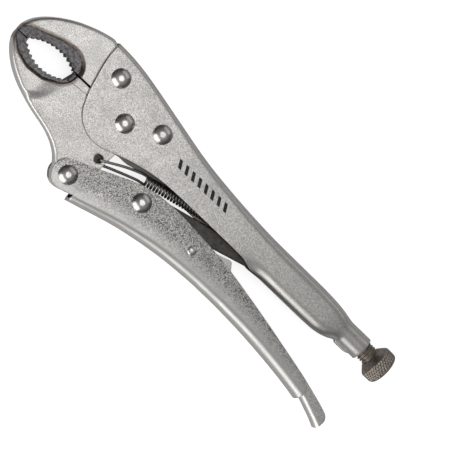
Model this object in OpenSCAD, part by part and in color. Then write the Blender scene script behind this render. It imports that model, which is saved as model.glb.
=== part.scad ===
// Locking pliers with curved jaws and a wire cutter, lying flat on one side.
// The jaw pivot's axis is the Z axis, and Z = 0 is the plane that the pliers rest on.
// +X runs from the jaws to the knob, parallel to the adjusting screw.
// +Y points from the lower handle to the upper handle.

/* [Handles] */
// Outer width of both pressed channels, measured across the cheeks
channel_w = 14.5; // [12:0.5:18]
// Thickness of the handles' sheet steel
sheet_t = 1.9; // [1.5:0.1:2.3]
// Width of the slot between the curled-in edges at the rear of the upper handle
lip_slot_w = 5.4; // [5:0.1:7]
// Outer diameter of the tubular boss at the rear of the upper handle
boss_d = 12.6; // [12:0.2:14]
// Length of the tubular boss
boss_len = 13; // [10:1:20]

/* [Linkage] */
// Handle pivot in the movable jaw's ear, along X from the jaw pivot
handle_pivot_x = -3; // [-6:0.5:0]
// Handle pivot in the movable jaw's ear, along Y from the jaw pivot
handle_pivot_y = -37; // [-40:0.5:-34]
// Link pivot in the lower handle, along X
link_pivot_x = 32.8; // [30:0.2:36]
// Link pivot in the lower handle, along Y
link_pivot_y = -22; // [-24:0.5:-21]
// Release lever pin in the lower handle, along X
lever_pin_x = 67; // [60:1:72]
// Release lever pin in the lower handle, along Y
lever_pin_y = -22; // [-24:0.5:-20]
// Thickness of the toggle link
link_t = 3.6; // [3:0.2:4.6]
// Distance of the toggle link's rear bearing end from the jaw pivot, along X
link_end_x = 118; // [112:1:120]
// Free gap between the toggle link's rear end and the screw's tip
tip_gap = 2.6; // [2.4:0.1:4]
// Gap between the release lever's nose and the toggle link
nose_gap = 0.9; // [0.5:0.1:1.2]

/* [Rivets] */
// Diameter of the domed rivet heads
rivet_head_d = 10; // [8:0.5:12]
// Height of the domed rivet heads
rivet_head_h = 2.4; // [2.2:0.1:3]
// Diameter of the rivet shanks
rivet_d = 6.3; // [5:0.1:7]
// Radial clearance of every rivet in its holes
rivet_clear = 0.05; // [0.03:0.01:0.1]
// Diameter of the release lever pin's head
pin_head_d = 4.6; // [4:0.2:6]
// Diameter of the release lever pin's shank
pin_d = 3; // [2.5:0.1:4]

/* [Jaws] */
// Thickness of both jaws where they lie between the cheeks
jaw_t = 10.4; // [9:0.1:10.5]
// Thickness of the fixed jaw's head
head_t = 14.2; // [13:0.1:14.5]
// Thickness of the movable jaw's nose
nose_t = 13.4; // [11:0.1:14]
// Thickness of the toothed band around the mouth
band_t = 9.2; // [7:0.2:10]
// Depth of the teeth
tooth_depth = 1.1; // [0.6:0.1:1.6]
// Number of teeth in each jaw
tooth_count = 11; // [8:1:14]
// Radius of the movable jaw's eye around the jaw pivot
eye_r = 9; // [8:0.5:9.5]
// Diameter of the spring's hole in the movable jaw
spring_hole_d = 4.5; // [4:0.5:5]

/* [Adjusting screw] */
// Height of the screw's axis above the jaw pivot
screw_y = 1.75; // [0:0.25:3]
// Outer diameter of the screw's thread
screw_d = 10; // [8:0.5:10]
// Pitch of the screw's thread
screw_pitch = 1.5; // [1:0.25:2]
// Outer diameter of the knurled knob
knob_d = 18.2; // [16:0.2:19]
// Distance of the knob's front from the boss
knob_gap = 5.8; // [3:0.1:12]
// Length of the knob
knob_len = 11.2; // [9:0.2:16]

/* [Spring] */
// Wire diameter of the tension spring
wire_d = 1.2; // [0.8:0.1:1.3]
// Outer diameter of the tension spring's coil
coil_d = 5.6; // [4.6:0.2:5.6]
// Number of turns of the coil
coil_turns = 24; // [16:1:28]
// Distance between two turns of the coil
coil_pitch = 1.55; // [1.3:0.05:2]

/* [Hidden] */
$fn = 64;

half_w = channel_w / 2;
mid_z = half_w + rivet_head_h;
rivet_hole_r = rivet_d / 2 + rivet_clear;
handle_pivot = [handle_pivot_x, handle_pivot_y];
link_pivot = [link_pivot_x, link_pivot_y];
lever_pin = [lever_pin_x, lever_pin_y];
front_rivet = [-16.4, 14.6];
rear_rivet = [17.3, 8.9];
spring_hole = [2.7, -21];
spring_lug = [77, -1];
boss_start = 151.5;
boss_end = boss_start + boss_len;
link_end_r = 3.6;
screw_tip_x = link_end_x + link_end_r + tip_gap;
plated = [0.74, 0.73, 0.71];
polished = [0.82, 0.82, 0.82];
dark_oxide = [0.2, 0.19, 0.18];
screw_brown = [0.33, 0.3, 0.27];

// ---- the pressed channels ----

// A channel is bent and curled from sheet along a row of stations. Each station is
// [x, web, half width, bend radius, curl start, curl length, curl angle]:
// the web's outer face is at y = web, the cheek is straight down to the curl start,
// and from there a strip of the curl length bends inwards through the curl angle.
bend_steps = 6;
curl_steps = 7;
function curl_r(s) = s[5] / (s[6] * PI / 180);
function reverse(pts) = [for (i = [len(pts) - 1 : -1 : 0]) pts[i]];
function mirrored(pts) = [for (p = pts) [-p[0], p[1]]];

// The outer face of one cheek as [z, y] pairs, moved inwards by d, from its lower lip to the web.
function cheek(s, d) = concat(
  [for (i = [curl_steps : -1 : 0]) let (a = s[6] * i / curl_steps)
    [s[2] - d * cos(a) - curl_r(s) * (1 - cos(a)), s[4] + d * sin(a) - curl_r(s) * sin(a)]],
  [for (i = [0 : bend_steps]) let (a = 90 * i / bend_steps)
    [s[2] - s[3] + (s[3] - d) * cos(a), s[1] - s[3] + (s[3] - d) * sin(a)]]);
function section(s, t) = concat(cheek(s, 0), reverse(mirrored(cheek(s, 0))), mirrored(cheek(s, t)),
  reverse(cheek(s, t)));

// The closed shell through all stations, its web above the cheeks.
module channel(stations, t) {
  n = 4 * (curl_steps + bend_steps + 2);
  last = len(stations) - 1;
  walls = [for (j = [0 : last - 1]) for (i = [0 : n - 1]) let (a = j * n + i, b = j * n + (i + 1) % n)
    each [[a, b, b + n], [a, b + n, a + n]]];
  strip = [for (i = [0 : n / 2 - 2]) each [[i, n - 1 - i, n - 2 - i], [i, n - 2 - i, i + 1]]];
  end_cap = [for (f = strip) [for (v = [2 : -1 : 0]) f[v] + last * n]];
  polyhedron(points = [for (s = stations) each [for (p = section(s, t)) [s[0], p[1], p[0]]]],
    faces = concat(walls, strip, end_cap), convexity = 8);
}

// A plate of thickness h, centred on the mid-plane, from an outline in X and Y.
module plate(h) {
  translate([0, 0, -h / 2]) linear_extrude(height = h) children();
}

// A round hole through everything, across the pliers.
module cross_hole(at, r) {
  translate([at[0], at[1], -20]) cylinder(r = r, h = 40);
}

// ---- upper handle ----

upper_stations = [
  [-30, 26.8, half_w, 2.6, 0, 20, 0.5],
  [-20, 26.4, half_w, 2.6, 0, 18, 0.5],
  [-10, 25.3, half_w, 2.6, 0, 18, 0.5],
  [0, 23.5, half_w, 2.6, 0, 18, 0.5],
  [20, 19.4, half_w, 2.8, 0, 14, 0.5],
  [40, 15.4, half_w, 3.2, 0, 9, 0.5],
  [50, 13.9, half_w, 3.4, 0, 9, 0.5],
  [60, 12.8, half_w, 3.6, 0, 9, 0.5],
  [70, 11.9, half_w, 3.9, 0, 9, 0.5],
  [80, 11.2, half_w, 4.2, 0, 9, 2],
  [90, 10.7, half_w, 4.6, -0.6, 8.4, 8],
  [95, 10.5, half_w, 4.8, -1.4, 8.2, 30],
  [99, 10.5, half_w, 5, -1.8, 8.2, 56],
  [104, 10.4, half_w, 5, -2.1, 8.4, 72],
  [112, 10.4, half_w, 5, -2.3, 8.6, 78],
  [128, 10.3, half_w, 5, -2.3, 8.6, 78],
  [138, 9.9, half_w, 5, -2.1, 8.6, 78],
  [143, 9.4, 7.1, 5.2, -1.4, 8.8, 79],
  [147, 8.8, 6.8, 5.6, -0.2, 9, 81],
  [150, 8.2, 6.45, 6, 1.2, 9.2, 84],
  [152.5, screw_y + boss_d / 2, boss_d / 2, boss_d / 2 - 0.02, screw_y, boss_d / 2 * 1.48, 84.8]];

module upper_outline() {
  polygon([[-28.1, 20], [-28.1, 25], [-27.4, 26.3], [-26.4, 30], [170, 30], [170, -12], [96, -12], [92, -7.6],
    [88, -7], [60, -7], [45, -7.1], [35, -7.5], [30, -8], [25, -8.8], [20, -9.9], [15, -11.2], [10, -12.8],
    [5, -14.5], [2, -15.6], [-1, -16.4], [-5, -16.8], [-8.5, -16.4], [-12, -15.3], [-15, -13.7], [-17.5, -11.6],
    [-20, -8.5], [-22, -4.2], [-23.7, 0], [-25, 5], [-26.3, 10], [-27.4, 15]]);
}

module boss_lips() {
  for (side = [-1, 1])
    translate([boss_start, screw_y - boss_d / 2 - 0.9, side * 1.05 - 0.85]) cube([9, 1.6, 1.7]);
}

module spring_lug_plate() {
  translate([0, 0, -1]) linear_extrude(height = 2) difference() {
    union() {
      translate(spring_lug) circle(r = 2.6);
      translate([spring_lug[0] - 2.6, spring_lug[1]]) square([5.2, 11.5]);
    }
    translate(spring_lug) circle(r = 1.3);
  }
}

module upper_handle() {
  color(plated) translate([0, 0, mid_z]) difference() {
    union() {
      intersection() {
        channel(upper_stations, sheet_t);
        plate(channel_w + 1) upper_outline();
      }
      difference() {
        union() {
          translate([boss_start, screw_y, 0]) rotate([0, 90, 0]) cylinder(d = boss_d, h = boss_len - 1);
          translate([boss_end - 1, screw_y, 0]) rotate([0, 90, 0])
            cylinder(d1 = boss_d, d2 = boss_d - 1.6, h = 1);
          boss_lips();
        }
        translate([boss_start - 1, screw_y - boss_d, -0.2]) cube([boss_len + 2, boss_d, 0.4]);
      }
      spring_lug_plate();
    }
    translate([boss_start - 6, screw_y, 0]) rotate([0, 90, 0]) cylinder(d = screw_d + 0.1, h = boss_len + 8);
    cross_hole(front_rivet, rivet_hole_r);
    cross_hole(rear_rivet, rivet_hole_r);
    cross_hole([0, 0], rivet_hole_r);
  }
}

// ---- lower handle and release lever ----

// The lower channels open upwards, so they are drawn upside down and mirrored.
lower_stations = [
  [-14, 51, half_w, 4, 44, 30, 0.5],
  [6, 46.3, half_w, 4, 40, 25, 0.5],
  [14, 44, half_w, 4.2, 38, 25, 0.5],
  [22, 41.7, half_w, 4.4, 36, 25, 0.5],
  [32, 39.1, half_w, 4.6, 34, 25, 0.5],
  [42, 37.1, half_w, 4.8, 32, 22, 0.5],
  [52, 35.5, half_w, 5, 30, 20, 0.5],
  [62, 34.3, half_w, 5, 29, 18, 0.5],
  [72, 33.6, half_w, 5, 28, 18, 0.5],
  [82, 33.2, half_w, 5, 28, 16, 0.5],
  [92, 33.2, half_w, 5.2, 28, 15, 0.5],
  [102, 33.5, half_w, 5.4, 28, 14, 0.5],
  [112, 34, half_w, 5.6, 28, 12, 0.5],
  [122, 34.8, half_w, 5.8, 28, 10, 0.5],
  [132, 35.8, half_w, 5.8, 29, 9, 0.5],
  [142, 37, half_w, 5.8, 31, 8, 0.5],
  [152, 38.5, half_w, 5.8, 32, 6, 0.5],
  [159, 39.6, half_w, 5.8, 33, 6, 0.5]];

module lower_outline() {
  polygon([[-11.2, -37], [-10.9, -34.4], [-9.9, -32.3], [-8.4, -30.8], [-6, -29.6], [0, -27.2], [5, -25],
    [10, -22.8], [15, -20.5], [20, -18.3], [25, -16.3], [30, -14.8], [35, -13.8], [40, -13.2], [47, -12.9],
    [55, -13.1],
    [65, -13.7], [75, -14.5], [85, -15.6], [95, -17.2], [110, -20], [125, -23], [140, -26.2], [150, -28.6],
    [153.5, -29.8], [155.6, -31.2], [156.8, -33], [157.2, -35], [156.8, -37.2], [155.6, -40], [155, -50],
    [20, -50], [6, -47.5], [5.3, -45.6], [4, -44.3], [2.3, -43.9], [0, -44.2], [-2.6, -44.9], [-5.4, -44.8],
    [-8, -43.6], [-10, -41.3]]);
}

module lower_handle() {
  color(plated) translate([0, 0, mid_z]) difference() {
    intersection() {
      mirror([0, 1, 0]) channel(lower_stations, sheet_t);
      plate(channel_w + 1) lower_outline();
    }
    cross_hole(handle_pivot, rivet_hole_r);
    cross_hole(link_pivot, rivet_hole_r);
    cross_hole(lever_pin, pin_d / 2 + rivet_clear);
  }
}

lever_half_w = half_w - sheet_t - 0.3;
lever_sheet_t = 1.4;
lever_stations = [
  [58, 30.2, lever_half_w, 2.6, 26, 17, 0.5],
  [80, 30.2, lever_half_w, 2.8, 26, 17, 0.5],
  [95, 30.5, lever_half_w, 3, 26, 14, 0.5],
  [105, 31, lever_half_w, 3.2, 26, 12, 0.5],
  [115, 31.6, lever_half_w, 3.4, 27, 11, 0.5],
  [125, 32.4, lever_half_w, 3.6, 28, 10, 0.5],
  [135, 33.4, lever_half_w, 3.8, 29, 9, 0.5],
  [145, 34.8, lever_half_w, 4, 30, 8, 0.5],
  [152, 35.9, lever_half_w, 4, 31, 7, 0.5],
  [157, 37.1, lever_half_w, 4, 32, 7, 0.5],
  [165, 39.9, lever_half_w, 4, 33, 7, 0.5],
  [176, 44, lever_half_w, 4, 36, 7, 0.5]];

// The link's lower edge at x, and the nose's peak just below it.
link_angle = atan2(screw_y - link_pivot_y, link_end_x - link_pivot_x);
nose_peak_x = 84.6;
link_edge_drop = 3.6;
nose_peak_y = link_pivot_y + (nose_peak_x - link_pivot_x) * tan(link_angle)
  - (link_edge_drop + nose_gap) / cos(link_angle);

module lever_outline() {
  polygon([[60.5, -18], [62.5, -16.6], [74, -15.6], [nose_peak_x - 3, nose_peak_y - 1],
    [nose_peak_x, nose_peak_y], [nose_peak_x + 1.4, nose_peak_y - 0.3], [89, -15.9], [95, -17],
    [110, -19.7], [125, -22.7], [140, -25.9],
    [150, -28.1], [157.5, -30], [165.5, -32.2], [170.6, -33.8], [172.8, -34.9], [174.2, -36.5], [174.6, -38.2],
    [172.6, -43], [171, -50], [61, -50], [59.5, -27]]);
}

module release_lever() {
  color(plated) translate([0, 0, mid_z]) difference() {
    union() {
      intersection() {
        mirror([0, 1, 0]) channel(lever_stations, lever_sheet_t);
        plate(channel_w) lever_outline();
      }
      // folded bridge that joins the two cheeks at the nose and bears on the link
      plate(2 * lever_half_w - 0.6)
        polygon([[nose_peak_x - 3, nose_peak_y - 1], [nose_peak_x, nose_peak_y],
          [nose_peak_x + 1.4, nose_peak_y - 0.3], [nose_peak_x + 1.2, nose_peak_y - 1.9],
          [nose_peak_x - 2.6, nose_peak_y - 2.5]]);
    }
    cross_hole(lever_pin, pin_d / 2 + rivet_clear);
  }
}

// ---- jaws ----

upper_arc = [-45.9, -19.9, 23.7];
lower_arc = [-48, 12.5, 20.8];

// A zigzag along an arc from angle a to angle b: the tips lie on the arc, the valleys tooth_depth beyond it.
function teeth(arc, a, b) = [for (i = [0 : 2 * tooth_count])
  let (w = a + (b - a) * i / (2 * tooth_count), r = arc[2] + (i % 2) * tooth_depth)
    [arc[0] + r * cos(w), arc[1] + r * sin(w)]];

// Circles along the mouth, each [x, y, radius]: their hull is the outline of the toothed band.
mouth_circles = [[-41.5, 0.2, 9], [-47, -1.5, 9.6], [-53, -2.8, 8.9], [-58.5, -3, 7.4], [-63, -2.3, 5.2]];

// The space above the toothed band, grown by g from z = low up to z = high.
module rim_cut(low, high, g) {
  hull()
    for (c = mouth_circles)
      translate([c[0], c[1], low]) cylinder(r1 = c[2], r2 = c[2] + g, h = high - low, $fn = 32);
}

// The bevel on both faces, from the jaw's face down to the toothed band.
module bevelled_rim() {
  for (side = [0, 1])
    mirror([0, 0, side]) rim_cut(band_t / 2, band_t / 2 + 3.3, 2.6);
}

module fixed_jaw_outline() {
  difference() {
    polygon(concat([[-69, -2.5], [-68.9, 1.2], [-67.2, 5.8], [-64, 10.1], [-59.9, 13.9], [-55, 17.3],
      [-50, 20.1], [-45, 22.3], [-40, 24.1], [-35, 25.5], [-31, 26.1], [-28.8, 25.4], [-27.2, 24.4],
      [-20, 24.2], [-10, 23.1], [0, 21.3], [10, 19.2], [20, 17.2], [23.6, 15.2], [25, 12], [24.6, 6.6],
      [21.6, 3.3], [16, 2.4], [9.3, 4], [0, 1.7], [-35.2, 1.7]],
      teeth(upper_arc, 63, 132.6)));
    circle(r = eye_r + 0.6);
  }
}

// The part of the fixed jaw that stands in front of the cheeks, at its full thickness.
module fixed_head_outline() {
  polygon([[-72, -4], [-72, 28], [-28.5, 28], [-28.5, 20], [-27.8, 15], [-26.7, 10], [-25.4, 5], [-24.4, 1],
    [-24.4, -4]]);
}

module fixed_jaw() {
  color(plated) translate([0, 0, mid_z]) difference() {
    intersection() {
      union() {
        plate(jaw_t) fixed_jaw_outline();
        plate(head_t) intersection() {
          fixed_jaw_outline();
          fixed_head_outline();
        }
      }
      // the head tapers towards its tip
      translate([0, 30, 0]) rotate([90, 0, 0]) linear_extrude(height = 40)
        polygon([[-70, -band_t / 2 - 0.3], [-38, -head_t / 2], [30, -head_t / 2], [30, head_t / 2],
          [-38, head_t / 2], [-70, band_t / 2 + 0.3]]);
    }
    bevelled_rim();
    cross_hole(front_rivet, rivet_hole_r);
    cross_hole(rear_rivet, rivet_hole_r);
  }
}

module movable_jaw_outline() {
  polygon(concat([[0, 0.8], [8.4, -3], [7.4, -12], [7, -20], [6.4, -30], handle_pivot + [7.2, 3], handle_pivot,
    handle_pivot + [-7.8, -0.5], [-12.4, -36.3], [-15.2, -33.6], [-19.5, -30.9], [-24, -29], [-29, -27.6],
    [-35, -26.3], [-41, -24.7], [-47, -22.6], [-53, -20], [-58.5, -16.9], [-63.4, -13.1], [-66.8, -9.3],
    [-68.7, -5.7], [-69, -2.9]], reverse(teeth(lower_arc, 308, 227.6)), [[-34.4, -1.2], [-34, 0.8]]));
}

// The movable jaw's thickness: its tapered nose slopes down along an arc to the body between the cheeks.
module movable_jaw_thickness() {
  intersection() {
    union() {
      plate(jaw_t) translate([-75, -60]) square([110, 80]);
      translate([-52, -5, 0]) rotate_extrude()
        polygon([[0, -nose_t / 2], [17.5, -nose_t / 2], [20.5, -jaw_t / 2], [20.5, jaw_t / 2],
          [17.5, nose_t / 2], [0, nose_t / 2]]);
    }
    translate([0, 30, 0]) rotate([90, 0, 0]) linear_extrude(height = 90)
      polygon([[-70, -band_t / 2 - 0.3], [-52, -nose_t / 2], [36, -nose_t / 2], [36, nose_t / 2],
        [-52, nose_t / 2], [-70, band_t / 2 + 0.3]]);
  }
}

module movable_jaw() {
  color(plated) translate([0, 0, mid_z]) difference() {
    union() {
      intersection() {
        plate(nose_t) movable_jaw_outline();
        movable_jaw_thickness();
      }
      translate([0, 0, -jaw_t / 2]) cylinder(r = eye_r, h = jaw_t);
      translate([handle_pivot_x, handle_pivot_y, -jaw_t / 2]) cylinder(r = 7.9, h = jaw_t);
    }
    bevelled_rim();
    // the cutter's land is ground down a little on both faces
    for (side = [-1, 1])
      translate([-34, -3.8, side * jaw_t / 2 - 0.35]) rotate([0, 0, 5]) cube([16, 6, 0.7]);
    cross_hole([0, 0], rivet_hole_r);
    cross_hole(handle_pivot, rivet_hole_r);
    cross_hole(spring_hole, spring_hole_d / 2);
  }
}

// ---- toggle link ----

link_len = norm([link_end_x, screw_y] - link_pivot);

module toggle_link() {
  color(dark_oxide) translate([0, 0, mid_z]) difference() {
    union() {
      translate([link_pivot_x, link_pivot_y, -link_t / 2]) cylinder(r = 6.4, h = link_t);
      translate([link_end_x, screw_y, -link_t / 2]) cylinder(r = link_end_r, h = link_t);
      plate(link_t) translate(link_pivot) rotate(link_angle)
        polygon([[2, -6], [12, -5.8], [30, -link_edge_drop], [link_len, -link_end_r + 0.1],
          [link_len, link_end_r - 0.1], [45, 4.6], [14, 5.8], [2, 6]]);
    }
    cross_hole(link_pivot, rivet_hole_r);
  }
}

// ---- rivets ----

// A domed head on the plane z = 0, with a small flat on its crown.
module rivet_head(d, h, crown_d) {
  ball_r = (d * d / 4 - crown_d * crown_d / 4 + h * h) / (2 * h);
  fall = sqrt(ball_r * ball_r - crown_d * crown_d / 4);
  intersection() {
    translate([0, 0, h - fall]) sphere(r = ball_r, $fn = 96);
    cylinder(d = d + 2, h = h);
  }
}

// A rivet with a domed head on each side of the pliers.
module rivet(at, d, head_d, head_h, crown_d) {
  translate([at[0], at[1], mid_z]) union() {
    translate([0, 0, -half_w]) cylinder(d = d, h = channel_w);
    for (side = [0, 1])
      mirror([0, 0, side]) translate([0, 0, half_w]) rivet_head(head_d, head_h, crown_d);
  }
}

module front_jaw_rivet() {
  color(polished) rivet(front_rivet, rivet_d, rivet_head_d, rivet_head_h, 2);
}

module rear_jaw_rivet() {
  color(polished) rivet(rear_rivet, rivet_d, rivet_head_d, rivet_head_h, 2);
}

module jaw_pivot_rivet() {
  color(polished) rivet([0, 0], rivet_d, rivet_head_d, rivet_head_h, 2);
}

module handle_pivot_rivet() {
  color(polished) rivet(handle_pivot, rivet_d, rivet_head_d, rivet_head_h, 2);
}

module link_rivet() {
  color(polished) rivet(link_pivot, rivet_d, rivet_head_d, rivet_head_h, 2);
}

module release_lever_pin() {
  color(polished) rivet(lever_pin, pin_d, pin_head_d, 0.9, 1);
}

// ---- adjusting screw ----

module adjusting_screw() {
  r = screw_d / 2;
  root = r - 0.6 * screw_pitch;
  knob_x = boss_end + knob_gap;
  k = knob_d / 2;
  ridges = floor((boss_start - 8 - screw_tip_x) / screw_pitch);
  color(screw_brown) translate([0, screw_y, mid_z]) rotate([0, 90, 0]) union() {
    // tip and threaded shaft, the thread drawn as rings
    rotate_extrude() polygon(concat([[0, screw_tip_x], [root - 1, screw_tip_x], [root, screw_tip_x + 1]],
      [for (i = [0 : ridges - 1]) each [[root, screw_tip_x + 1 + i * screw_pitch],
        [r, screw_tip_x + 1 + (i + 0.5) * screw_pitch]]],
      [[root, screw_tip_x + 1 + ridges * screw_pitch], [r, screw_tip_x + 1.6 + ridges * screw_pitch],
        [r, boss_end + 0.6]],
      [for (i = [0 : 2]) each [[root, boss_end + 1.1 + i * screw_pitch],
        [r, boss_end + 1.8 + i * screw_pitch]]],
      [[root, knob_x], [root, knob_x + 1], [0, knob_x + 1]]));
    // knob: smooth cone in front, knurled band, slightly domed rear
    rotate_extrude() polygon([[0, knob_x], [r + 0.6, knob_x], [k - 0.6, knob_x + 2.6], [k, knob_x + 3.6],
      [k, knob_x + knob_len - 3.4], [k - 0.5, knob_x + knob_len - 2], [k - 1.6, knob_x + knob_len - 0.9],
      [k - 4, knob_x + knob_len - 0.3], [0, knob_x + knob_len]]);
  }
}

// ---- tension spring ----

coil_r = (coil_d - wire_d) / 2;
coil_from = [27.6, -12.4];
coil_angle = 13;
coil_len = coil_turns * coil_pitch;
wire_sides = 6;
turn_steps = 10;

function unit(v) = v / norm(v);
// A point of the spring's wire, u along the coil's axis, v across it in the pliers' plane, w along Z.
function on_coil(u, v, w) = [coil_from[0] + u * cos(coil_angle) - v * sin(coil_angle),
  coil_from[1] + u * sin(coil_angle) + v * cos(coil_angle), w];
function loop(c, r, a, b, steps) = [for (i = [0 : steps]) let (w = a + (b - a) * i / steps)
  [c[0] + r * cos(w), c[1], r * sin(w)]];

hole_x = spring_hole[0];
hole_y = spring_hole[1];
lug_x = spring_lug[0];
lug_y = spring_lug[1];

// the wire's path: front hook through the movable jaw, coil, rear hook through the lug
front_hook = [[hole_x - 0.6, hole_y - 0.9, -jaw_t / 2 - 1.1], [hole_x - 0.6, hole_y - 0.9, 0],
  [hole_x - 0.5, hole_y - 0.7, jaw_t / 2 + 0.4], [hole_x + 0.9, hole_y - 0.1, jaw_t / 2 + 1.1],
  [hole_x + 6, hole_y + 2.2, jaw_t / 2 + 0.2], on_coil(-6, coil_r, 1.6), on_coil(-1.5, coil_r, 0)];
helix = [for (i = [0 : coil_turns * turn_steps]) let (w = 90 - 360 * i / turn_steps)
  on_coil(coil_len * i / (coil_turns * turn_steps), coil_r * sin(w), coil_r * cos(w))];
rear_hook = [on_coil(coil_len + 2, coil_r * 0.8, 0.6), [lug_x - 5.2, lug_y - 0.6, 2],
  [lug_x - 1.2, lug_y - 0.2, 1.9], [lug_x, lug_y, 1.2], [lug_x, lug_y, -1.8]];

// A round wire through the given points.
module wire(path) {
  n = wire_sides;
  last = len(path) - 1;
  dirs = [for (i = [0 : last]) unit(path[min(i + 1, last)] - path[max(i - 1, 0)])];
  side = [for (d = dirs) unit(cross(d, abs(d[2]) > 0.95 ? [1, 0, 0] : [0, 0, 1]))];
  polyhedron(points = [for (i = [0 : last]) for (k = [0 : n - 1]) let (w = 360 * k / n)
      path[i] + wire_d / 2 * (side[i] * cos(w) + cross(dirs[i], side[i]) * sin(w))],
    faces = concat([[for (k = [0 : n - 1]) k]],
      [for (i = [0 : last - 1]) for (k = [0 : n - 1]) let (a = i * n + k, b = i * n + (k + 1) % n)
        each [[a, a + n, b + n], [a, b + n, b]]],
      [[for (k = [n - 1 : -1 : 0]) last * n + k]]), convexity = 10);
}

module tension_spring() {
  color(dark_oxide) translate([0, 0, mid_z]) wire(concat(front_hook, helix, rear_hook));
}

upper_handle();
fixed_jaw();
front_jaw_rivet();
rear_jaw_rivet();
jaw_pivot_rivet();
movable_jaw();
handle_pivot_rivet();
lower_handle();
link_rivet();
toggle_link();
release_lever();
release_lever_pin();
adjusting_screw();
tension_spring();
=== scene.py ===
"""Locking pliers: the looks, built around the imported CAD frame.

Points are in millimetres in the frame's plane, with z from the mid-plane, until piece() turns them to metres.
"""

import math

import bpy
import numpy as np
from mathutils import Matrix, Vector
from mathutils.geometry import delaunay_2d_cdt


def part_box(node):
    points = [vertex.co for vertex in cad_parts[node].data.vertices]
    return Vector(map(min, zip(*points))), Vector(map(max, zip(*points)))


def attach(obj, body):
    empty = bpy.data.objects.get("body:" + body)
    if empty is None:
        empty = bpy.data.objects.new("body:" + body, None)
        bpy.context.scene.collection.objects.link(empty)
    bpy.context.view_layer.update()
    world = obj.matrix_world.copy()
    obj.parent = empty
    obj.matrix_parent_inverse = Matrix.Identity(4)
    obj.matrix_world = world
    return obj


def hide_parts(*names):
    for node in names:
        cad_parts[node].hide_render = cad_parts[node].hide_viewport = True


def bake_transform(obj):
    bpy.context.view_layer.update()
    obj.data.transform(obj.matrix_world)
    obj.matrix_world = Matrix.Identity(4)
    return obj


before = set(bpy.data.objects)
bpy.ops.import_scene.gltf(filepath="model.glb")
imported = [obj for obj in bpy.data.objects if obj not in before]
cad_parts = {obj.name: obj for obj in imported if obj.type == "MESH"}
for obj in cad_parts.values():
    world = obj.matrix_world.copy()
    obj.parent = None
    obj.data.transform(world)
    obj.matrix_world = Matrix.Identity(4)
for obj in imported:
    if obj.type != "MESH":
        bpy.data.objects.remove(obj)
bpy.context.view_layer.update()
MM = 0.001

# ---- places from the frame


def box_mm(node):
    """The corners of a CAD node's box."""
    low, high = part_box(node)
    return np.array(low) / MM, np.array(high) / MM


def centre_mm(node):
    low, high = box_mm(node)
    return (low + high) / 2


HANDLE_LOW, HANDLE_HIGH = box_mm("upper_handle")
SCREW_LOW, SCREW_HIGH = box_mm("adjusting_screw")
MID_Z = centre_mm("upper_handle")[2]
HALF_W = (HANDLE_HIGH[2] - HANDLE_LOW[2]) / 2
SHEET_T = 1.9
FRONT_RIVET = centre_mm("front_jaw_rivet")[:2]
REAR_RIVET = centre_mm("rear_jaw_rivet")[:2]
JAW_PIVOT = centre_mm("jaw_pivot_rivet")[:2]
HANDLE_PIVOT = centre_mm("handle_pivot_rivet")[:2]
LINK_PIVOT = centre_mm("link_rivet")[:2]
RIVET_HOLE_R = 3.2
SCREW_Y = centre_mm("adjusting_screw")[1]
SCREW_X0, SCREW_X1 = SCREW_LOW[0], SCREW_HIGH[0]
KNOB_R = (SCREW_HIGH[1] - SCREW_LOW[1]) / 2
BOSS_X1, BOSS_R = HANDLE_HIGH[0], 6.3
SPRING_HOLE, SPRING_HOLE_R = np.array([2.7, -21.0]), 2.25
SPRING_LUG = np.array([77.0, -1.0])


# ---- curves


def between(p, q, start, end, t):
    """The point at t on the line that is at p at start and at q at end."""
    return ((end - t) * p + (t - start) * q) / (end - start)


def smooth_path(points, step, closed=False, corners=()):
    """A dense path through 2D points, bending smoothly except at the listed corner indices."""
    pts = [np.array(p, float) for p in points]
    n = len(pts)
    out = []
    last = n if closed else n - 1
    for i in range(last):
        p1, p2 = pts[i], pts[(i + 1) % n]
        p0 = pts[i - 1] if (i > 0 or closed) else 2 * p1 - p2
        p3 = pts[(i + 2) % n] if (i + 2 < n or closed) else 2 * p2 - p1
        if i in corners:
            p0 = 2 * p1 - p2
        if (i + 1) % n in corners:
            p3 = 2 * p2 - p1
        # centripetal spacing keeps the curve from overshooting
        t1 = max(np.linalg.norm(p1 - p0), 1e-6) ** 0.5
        t2 = t1 + max(np.linalg.norm(p2 - p1), 1e-6) ** 0.5
        t3 = t2 + max(np.linalg.norm(p3 - p2), 1e-6) ** 0.5
        count = max(1, int(round(np.linalg.norm(p2 - p1) / step)))
        t = (t1 + (t2 - t1) * np.arange(count) / count)[:, None]
        a1, a2, a3 = between(p0, p1, 0, t1, t), between(p1, p2, t1, t2, t), between(p2, p3, t2, t3, t)
        out += list(between(between(a1, a2, 0, t2, t), between(a2, a3, t1, t3, t), t1, t2, t))
    if not closed:
        out.append(pts[-1])
    return np.array(out)


def lengths(path):
    """How far along a path each of its points lies."""
    return np.concatenate([[0], np.cumsum(np.linalg.norm(np.diff(path, axis=0), axis=1))])


def along(path, count):
    """Resamples a path to count points, evenly spaced by length."""
    path = np.asarray(path, float)
    s = lengths(path)
    u = np.linspace(0, s[-1], count)
    return np.stack([np.interp(u, s, path[:, k]) for k in range(path.shape[1])], 1)


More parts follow.
